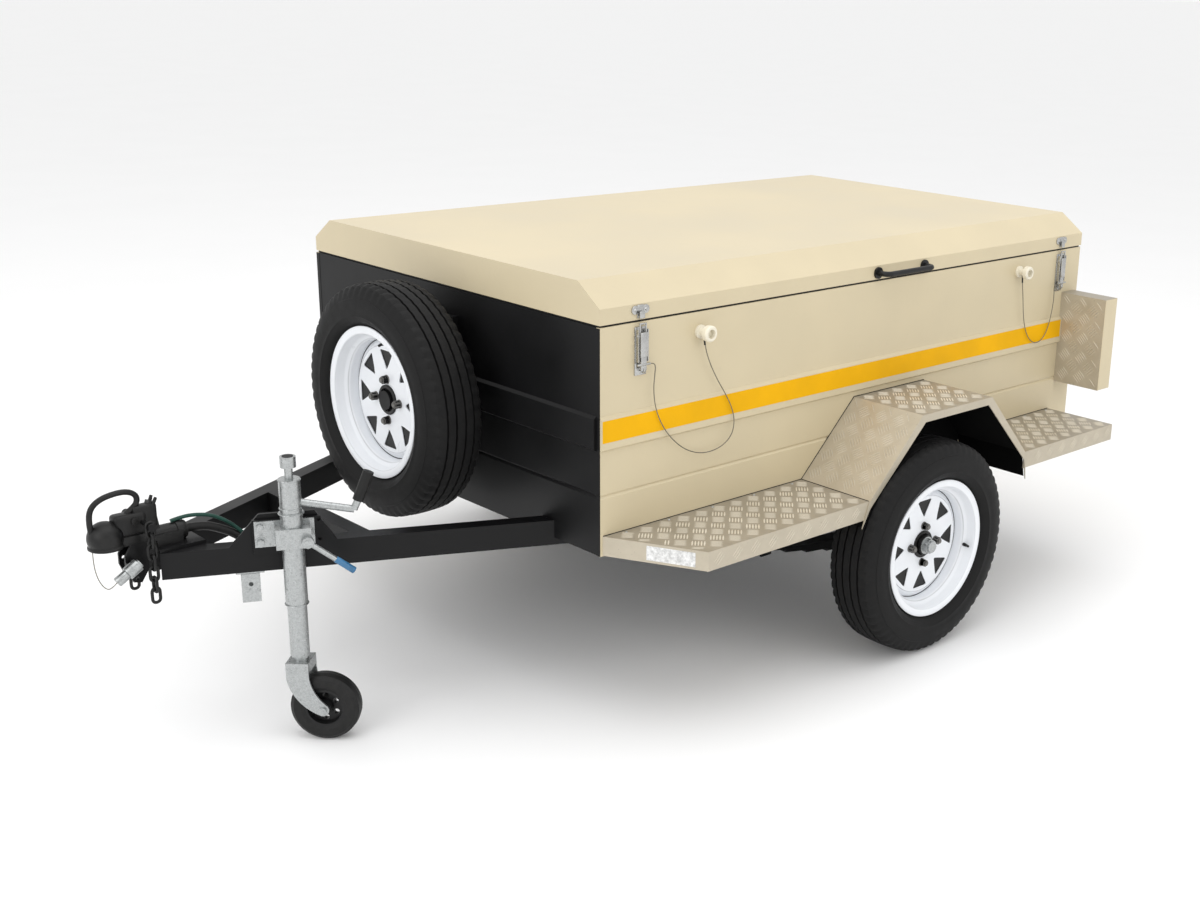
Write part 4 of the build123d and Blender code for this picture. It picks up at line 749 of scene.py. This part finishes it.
# tape on the raised band, plain reflectors, seals and plates
tape = {"low": 0.677, "high": 0.7275, "sheet": 0.0004, "rear": datumX - 0.856, "band": boxHalf + 0.008}
for name, side in (("leftTape", 1), ("rightTape", -1)):
    bm = bmesh.new()
    face = side * tape["band"]
    addBlock(bm, (tape["rear"], face - side * 0.0001, tape["low"]),
             (boxFront - 0.001, face + side * tape["sheet"], tape["high"]))
    newObject(name, bm, paints["yellowTape"], "trailer")

reflector = {
    "nose": (datumX + 0.89, 0.587), "corner": (datumX + 0.777, 0.815), "middle": 0.65, "share": 0.46,
    "height": 0.434, "tall": 0.034, "thick": 0.0013, "proud": 0.00015
}


def makeReflector(name, side, look):  # on the slanted front edge of a board
    bm = bmesh.new()
    nose, corner = [Vector((x, side * y, 0)) for x, y in (look["nose"], look["corner"])]
    edge = corner - nose
    out = Vector((abs(edge.y), side * abs(edge.x), 0)).normalized()
    middle = nose + edge * look["middle"] + Vector((0, 0, look["height"])) + out * look["proud"]
    sides = Matrix.Diagonal((edge.length * look["share"], look["thick"], look["tall"], 1))
    turned = Matrix.Rotation(math.atan2(edge.y, edge.x), 4, "Z") @ sides
    bmesh.ops.create_cube(bm, size=1.0, matrix=Matrix.Translation(middle) @ turned)
    newObject(name, bm, paints["whiteReflector"], "trailer")


makeReflector("leftReflector", 1, reflector)
makeReflector("rightReflector", -1, reflector)

bm = bmesh.new()  # black edges where the front panel laps over the sides
addPair(bm, (boxFront - 0.0002, boxHalf - 0.013, 0.4095), (boxFront + 0.0006, boxHalf + 0.0002, 0.934))
newObject("frontEdges", bm, paints["blackPaint"], "trailer")

seal = {"low": 0.9345, "high": 0.9393, "inner": boxHalf - 0.011, "outer": boxHalf - 0.004}
bm = bmesh.new()  # dark seal in the joint below the lid
addPair(bm, (boxRear + 0.006, seal["inner"], seal["low"]), (boxFront - 0.004, seal["outer"], seal["high"]))
addBlock(bm, (boxFront - 0.011, -boxHalf + 0.012, seal["low"]), (boxFront - 0.004, boxHalf - 0.012, seal["high"]))
newObject("lidSeal", bm, softRubber, "trailer")

bm = bmesh.new()  # painted outer plates of the lamp housings
addPair(bm, (datumX - 0.9195, 0.7398, 0.5395), (datumX - 0.8605, 0.7412, 0.8075), 0.0004, 1)
newObject("lampSidePlates", bm, paints["beigePaint"], "trailer")
print("tape and plates made")

# dark skin inside the mudguards
guard = {
    "front": 0.24, "rear": -0.405, "crownFront": 0.052, "crownRear": -0.232, "top": 0.642,
    "inner": 0.5905, "outer": 0.8148, "lip": 0.8118, "sheet": 0.0036, "frontTip": (0.0215, 0.394),
    "rearTip": (-0.0095, 0.386), "skirt": 0.41, "skin": 0.0005
}


def makeGuardSkins(look):
    bm = bmesh.new()
    front, rear, under = look["front"], look["rear"], look["top"] - look["sheet"]
    slopes = [(front - 0.0052, boardTop + 0.001), (look["crownFront"] - 0.0016, under),
              (look["crownRear"] + 0.0016, under), (rear + 0.0052, boardTop + 0.001)]
    frontFlap = [(front + look["frontTip"][0], look["frontTip"][1]), (front - 0.0056, boardTop - 0.004),
                 (front - 0.006, boardTop + 0.004)]
    rearFlap = [(rear + 0.006, boardTop + 0.004), (rear + 0.0056, boardTop - 0.004),
                (rear + look["rearTip"][0], look["rearTip"][1])]
    wall = slopes + [(rear + 0.0052, look["skirt"]), (front - 0.0052, look["skirt"])]
    for side in (1, -1):
        for outline, outer in ((slopes, look["outer"]), (frontFlap, look["lip"]), (rearFlap, look["lip"])):
            rows = [[bm.verts.new((datumX + x, side * across, z)) for x, z in outline]
                    for across in (look["inner"], outer)]
            edges = [bm.edges.new(pair) for row in rows for pair in zip(row, row[1:])]
            bmesh.ops.bridge_loops(bm, edges=edges)
        bm.faces.new([bm.verts.new((datumX + x, side * (look["inner"] + 0.0002), z)) for x, z in wall])
    bmesh.ops.recalc_face_normals(bm, faces=bm.faces[:])
    bmesh.ops.solidify(bm, geom=bm.faces[:], thickness=look["skin"])
    bmesh.ops.recalc_face_normals(bm, faces=bm.faces[:])
    newObject("guardSkins", bm, paints["innerBlack"], "trailer")


makeGuardSkins(guard)
print("mudguard skins made")

# raised bars of the tread plate, in fives that turn from one square to the next; bars of one turn on level faces get
# a lighter material, a painted glint
bars = {
    "square": 0.0405, "count": 5, "pitch": 0.007, "long": 0.035, "wide": 0.0042, "high": 0.0011,
    "margin": 0.003, "sunk": 0.0001
}


def rectangle(wide, high):
    return [(0, 0), (wide, 0), (wide, high), (0, high)]


ahead, aside, up = (1, 0, 0), (0, 1, 0), (0, 0, 1)
# corner on the left, the ways along and across, the way it faces, its outline, and whether its bars get the painted
# glint
plateFaces = [
    ((0.24, 0.587, 0.457), ahead, aside, up, [(0, 0), (0.65, 0), (0.537, 0.228), (0, 0.228)], True),
    ((-0.839, 0.587, 0.457), ahead, aside, up, rectangle(0.434, 0.228), True),
    ((-0.232, 0.587, 0.642), ahead, aside, up, rectangle(0.284, 0.231), True),
    ((0.24, 0.587, 0.457), (-0.188, 0, 0.185), aside, (0.7014, 0, 0.7128), rectangle(0.2637, 0.231), False),
    ((-0.232, 0.587, 0.642), (-0.173, 0, -0.185), aside, (-0.7304, 0, 0.683), rectangle(0.2533, 0.231), False),
    ((0.262, 0.815, 0.411), ahead, up, aside, rectangle(0.515, 0.046), False),
    ((-0.839, 0.815, 0.411), ahead, up, aside, rectangle(0.434, 0.046), False),
    ((-0.839, 0.587, 0.411), aside, up, (-1, 0, 0), rectangle(0.228, 0.046), False),
    ((-0.86, 0.587, 0.539), aside, up, ahead, rectangle(0.153, 0.269), False),
]


def isInside(point, outline, margin):
    for first, second in zip(outline, outline[1:] + outline[:1]):
        run = (second - first).normalized()
        offset = point - first
        if run.x * offset.y - run.y * offset.x < margin:
            return False
    return True


def addBars(paintedGlintMesh, plain, plateFace, side, look):
    x, y, z = plateFace[0]
    origin = Vector((datumX + x, side * y, z))
    along, across, out = (Vector((x, side * y, z)) for x, y, z in plateFace[1:4])
    along.normalize()
    outline = [Vector(corner) for corner in plateFace[4]]
    diagonal = look["square"] * math.sqrt(2)
    columns = int(max(corner.x for corner in outline) / diagonal)
    rows = int(max(corner.y for corner in outline) / diagonal)
    squares = [(i * diagonal, j * diagonal, True) for i in range(columns + 2) for j in range(rows + 2)]
    squares += [((i - 0.5) * diagonal, (j - 0.5) * diagonal, False)
                for i in range(columns + 3) for j in range(rows + 3)]
    for u, v, isGlintSquare in squares:
        lengthWay = Vector((1, 1 if isGlintSquare else -1)).normalized()
        wideWay = Vector((-lengthWay.y, lengthWay.x))
        for number in range(look["count"]):
            middle = Vector((u, v)) + wideWay * ((number - (look["count"] - 1) / 2) * look["pitch"])
            ends = [middle + lengthWay * (reach * look["long"] / 2) for reach in (1, -1)]
            if not all(isInside(end, outline, look["margin"]) for end in ends):
                continue
            lengthAxis = along * lengthWay.x + across * lengthWay.y
            wideAxis = along * wideWay.x + across * wideWay.y
            turn = Matrix((lengthAxis * look["long"] / 2, wideAxis * look["wide"] / 2, out)).transposed().to_4x4()
            place = origin + along * middle.x + across * middle.y + out * (look["high"] / 2 - look["sunk"])
            # bars of the glint turn on level faces go to the painted-glint mesh
            bmesh.ops.create_cone(paintedGlintMesh if isGlintSquare and plateFace[5] else plain, cap_ends=True, segments=6,
                                  radius1=1.0, radius2=0.6, depth=look["high"],
                                  matrix=Matrix.Translation(place) @ turn)


def makeTreadBars(look):
    paintedGlintMesh, plain = bmesh.new(), bmesh.new()
    for side in (1, -1):
        for plateFace in plateFaces:
            addBars(paintedGlintMesh, plain, plateFace, side, look)
    for bm, name, finish in ((paintedGlintMesh, "paintedGlintBars", paintedGlintTread), (plain, "treadBars", treadBar)):
        bmesh.ops.recalc_face_normals(bm, faces=bm.faces[:])
        newObject(name, bm, finish, "trailer", 20)


makeTreadBars(bars)
print("tread bars made")

seam = {"radius": 0.001, "inner": 0.5874, "outer": 0.8145, "proud": 0.0004, "nose": 0.889, "tail": -0.838}


def makeSeams(look):  # dark sealant where plates meet the body and each other
    bm = bmesh.new()
    foot, top = boardTop + look["proud"], guard["top"] + look["proud"]
    path = [(look["nose"], foot), (guard["front"], foot), (guard["crownFront"], top), (guard["crownRear"], top),
            (guard["rear"], foot), (look["tail"], foot)]
    for side in (1, -1):
        inner = side * look["inner"]
        for (x, z), (nextX, nextZ) in zip(path, path[1:]):
            addRod(bm, (datumX + x, inner, z), (datumX + nextX, inner, nextZ), look["radius"], 8)
        for x in (guard["front"], guard["rear"]):
            addRod(bm, (datumX + x, inner, foot), (datumX + x, side * look["outer"], foot), look["radius"], 8)
    newObject("plateSeams", bm, paints["innerBlack"], "trailer")


makeSeams(seam)
print("seams made")

# draw latches and their keepers: blocks and rods from a place on the body's side, with heights from the ground
latch = {
    "places": (datumX + 0.783, datumX - 0.834),
    "blocks": [((-0.017, 0.0, 0.815), (0.017, 0.003, 0.925), 0.0012),
        ((0.0125, 0.002, 0.846), (0.015, 0.0135, 0.92), 0.0008),
        ((-0.015, 0.002, 0.846), (-0.0125, 0.0135, 0.92), 0.0008),
        ((-0.0108, 0.0125, 0.858), (0.0108, 0.0165, 0.914), 0.0014),
        ((-0.0085, 0.0105, 0.826), (0.0085, 0.015, 0.864), 0.0016)],
    "rods": [((-0.017, 0.009, 0.906), (0.017, 0.009, 0.906), 0.0032, 16, None, 0.0008),
        ((-0.019, 0.014, 0.841), (0.019, 0.014, 0.841), 0.0028, 14, None, 0.0007),
        ((0.0085, 0.0115, 0.9), (0.0085, 0.0105, 0.9325), 0.0021, 12),
        ((-0.0085, 0.0115, 0.9), (-0.0085, 0.0105, 0.9325), 0.0021, 12),
        ((-0.01, 0.0105, 0.9325), (0.01, 0.0105, 0.9325), 0.0021, 12, None, 0.0006)],
    "rivets": (0.822, 0.888, 0.918), "rivet": (0.003, 0.0045, 0.0036, 14, 0.0026), "ring": (0.01, 0.829)
}
keeper = {
    "plate": [((-0.0095, 0.0, 0.944), (0.0095, 0.003, 0.974), 0.0012)],
    "hook": [((-0.0075, 0.002, 0.944), (0.0075, 0.0085, 0.95), 0.0012),
        ((-0.0075, 0.0065, 0.944), (0.0075, 0.009, 0.96), 0.0008)],
    "ears": 0.0155, "height": 0.963,
    "rods": [(0.0, 0.003, 0.01, 28, None, 0.0007), (0.003, 0.005, 0.004, 16, 0.0028)]
}


def makeLatches():
    bm = bmesh.new()
    lidBm = bmesh.new()
    near, far, *rivetShape = latch["rivet"]
    out, high = latch["ring"]
    for x in latch["places"]:
        place = (x, boxHalf, 0)
        rivets = [((0, near, z), (0, far, z), *rivetShape) for z in latch["rivets"]]
        addParts(bm, place, latch["blocks"], latch["rods"] + rivets)
        addRing(bm, (x, boxHalf + out, high), (1, 0, 0), (0, 0, 1), 0.0065, 0.0016, 24, 8)
        ears = [((ear, low, keeper["height"]), (ear, high, keeper["height"]), *shape)
                for ear in (keeper["ears"], -keeper["ears"]) for low, high, *shape in keeper["rods"]]
        addParts(lidBm, place, keeper["plate"], ears)
        addParts(lidBm, place, keeper["hook"], [])
    base = newObject("drawLatches", bm, chromeSteel, "trailer")
    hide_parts("latches")
    top = newObject("latchKeepers", lidBm, chromeSteel, "lid")
    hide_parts("latch_keepers")


makeLatches()
print("latches made")

# chain links, each a closed ring turned from the last
chain = {
    "x": datumX + 1.683, "y": 0.052, "top": 0.519, "wire": 0.007, "pitch": 0.026, "links": 7,
    "slack": 0.0012, "bolt": 0.0045, "width": 1.25
}
linkRing = [
    (0.45, 1.0), (1.0, 0.72), (1.0, 0.0), (1.0, -0.72), (0.45, -1.0), (-0.45, -1.0), (-1.0, -0.72), (-1.0, 0.0),
    (-1.0, 0.72), (-0.45, 1.0)
]


def makeChains(look):
    routes = []
    tall = look["pitch"] / 2 + look["wire"] / 2
    wide = look["wire"] * look["width"]
    for side in (1, -1):
        for number in range(look["links"]):
            drop = look["pitch"] / 2 - look["bolt"] - look["slack"] + number * (look["pitch"] - look["slack"])
            middle = Vector((look["x"], side * look["y"], look["top"] - drop))
            across = Vector((1, 0, 0)) if number % 2 == 0 else Vector((0, 1, 0))
            routes.append([tuple(middle + across * (a * wide) + Vector((0, 0, b * tall))) for a, b in linkRing])
    piece = tubeCurve("chainLinks", routes, look["wire"], castBlack, "trailer", True, 4)
    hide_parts("safety_chains")


makeChains(chain)
print("chains made")

# coupling: rounded castings over the plain ones, from the ball's middle
coupler = {
    "ball": (datumX + 1.758, 0, 0.496),
    "cup": [(0.0, 0.0262), (0.0, 0.0352), (0.0015, 0.0368), (0.0055, 0.0368), (0.007, 0.0352),
        (0.007, 0.0262)], "cupDrop": 0.022,
    "blocks": [((-0.086, -0.017, -0.004), (-0.016, 0.017, 0.046), 0.009, 3),
        ((-0.112, -0.012, 0.006), (-0.06, 0.012, 0.058), 0.006, 3)],
    "rods": [((-0.058, 0.012, 0.03), (-0.058, 0.021, 0.03), 0.0085, 6, None, 0.001),
        ((-0.1, 0.006, 0.045), (-0.111, 0.011, 0.07), 0.0048, 12, 0.0034, 0.001),
        ((-0.058, -0.012, 0.03), (-0.058, -0.021, 0.03), 0.0085, 6, None, 0.001),
        ((-0.1, -0.006, 0.045), (-0.111, -0.011, 0.07), 0.0048, 12, 0.0034, 0.001),
        ((-0.17, 0, -0.017), (-0.15, 0, -0.017), 0.0215, 32, None, 0.0015)]
}
lockPin = {
    "top": (datumX + 1.7036, 0.038, 0.4396), "low": (datumX + 1.7576, 0.038, 0.4066),
    "wide": (0.0065, 0.036, 0.0148), "narrow": (0.0355, -0.0004, 0.0112)
}


def makeCoupler(look):
    x, y, z = look["ball"]
    bm = bmesh.new()
    addLathe(bm, (x, y, z - look["cupDrop"]), (0, 0, 1), (1, 0, 0), look["cup"], 64)
    addParts(bm, look["ball"], look["blocks"], look["rods"])
    newObject("couplerCastings", bm, castBlack, "trailer")


def makeLockSleeve(look):  # plated sleeve on the lock pin
    bm = bmesh.new()
    top, low = Vector(look["top"]), Vector(look["low"])
    way = (low - top).normalized()
    start, end, radius = look["wide"]
    addRod(bm, top + way * start, top + way * end, radius, 28, bevel=0.001)
    start, end, radius = look["narrow"]
    addRod(bm, top + way * start, low + way * end, radius, 28, bevel=0.001)
    newObject("lockSleeve", bm, zincSteel, "trailer")


makeCoupler(coupler)
makeLockSleeve(lockPin)
print("coupler made")

# jack: bolt heads, a blue grip, bands and a dark knob top, along the left drawbar rail
slant = math.radians(25.7)
railAlong = Vector((-math.cos(slant), math.sin(slant), 0))
railOut = Vector((math.sin(slant), math.cos(slant), 0))
railNose = Vector((datumX + 1.665, 0.047, 0))
jackCentre = railNose + railAlong * 0.272 + railOut * 0.035
leverBolt = [(0.064, 0.0785, 0.0135, 8, None, 0.0012), (0.0785, 0.08, 0.007, 20)]
clampBolt = [(0.013, 0.0215, 0.0085, 6, None, 0.001), (0.013, 0.0145, 0.012, 24)]
jackTrim = {
    "bolts": [(0.301, 0.475, leverBolt), (0.206, 0.498, clampBolt), (0.206, 0.463, clampBolt)],
    "pivot": (0.301, 0.07, 0.475), "tip": (0.394, 0.07, 0.401), "gripFrom": 0.6, "gripPast": 0.002,
    "grip": (0.0072, 20, 0.0078, 0.0016), "knobHigh": 0.661,
    "knob": [(-0.001, 0.0005), (-0.001, 0.0125), (0.0008, 0.012), (0.0008, 0.0005)],
    "bands": [(0.545, 0.0236), (0.6085, 0.0232), (0.533, 0.0262), (0.323, 0.0246)], "bandWire": 0.0016
}


def railPoint(along, out, high):
    return railNose + railAlong * along + railOut * out + Vector((0, 0, high))


def jackPoint(high):
    return jackCentre + Vector((0, 0, high))


def makeJackTrim(look):
    bm = bmesh.new()
    for along, high, rods in look["bolts"]:
        for near, far, *shape in rods:
            addRod(bm, railPoint(along, near, high), railPoint(along, far, high), *shape)
    newObject("jackBolts", bm, zincSteel, "trailer")
    pivot, tip = railPoint(*look["pivot"]), railPoint(*look["tip"])
    bm = bmesh.new()
    end = tip + (tip - pivot).normalized() * look["gripPast"]
    addRod(bm, pivot.lerp(tip, look["gripFrom"]), end, *look["grip"])
    newObject("leverGrip", bm, paints["blueGrip"], "trailer")
    bm = bmesh.new()
    addLathe(bm, jackPoint(look["knobHigh"]), (0, 0, 1), (1, 0, 0), look["knob"], 32)
    newObject("knobTop", bm, softRubber, "jack_outer")
    bm = bmesh.new()
    for high, radius in look["bands"]:
        addRing(bm, jackPoint(high), (0, 0, 1), (1, 0, 0), radius, look["bandWire"], 48, 8)
    newObject("jackBands", bm, zincSteel, "jack_outer")


makeJackTrim(jackTrim)
print("jack trim made")

# rivets along the boards
rivet = {
    "radius": 0.0042, "topRadius": 0.0028, "height": 0.0016, "out": 0.598,
    "places": (0.285, 0.42, 0.56, 0.7, 0.83, -0.45, -0.58, -0.71, -0.815)
}


def makeRivets(look):
    bm = bmesh.new()
    for side in (1, -1):
        for x in look["places"]:
            foot = (datumX + x, side * look["out"])
            addRod(bm, (*foot, boardTop), (*foot, boardTop + look["height"]), look["radius"], 12, look["topRadius"])
    newObject("boardRivets", bm, zincSteel, "trailer")


makeRivets(rivet)
print("rivets made")
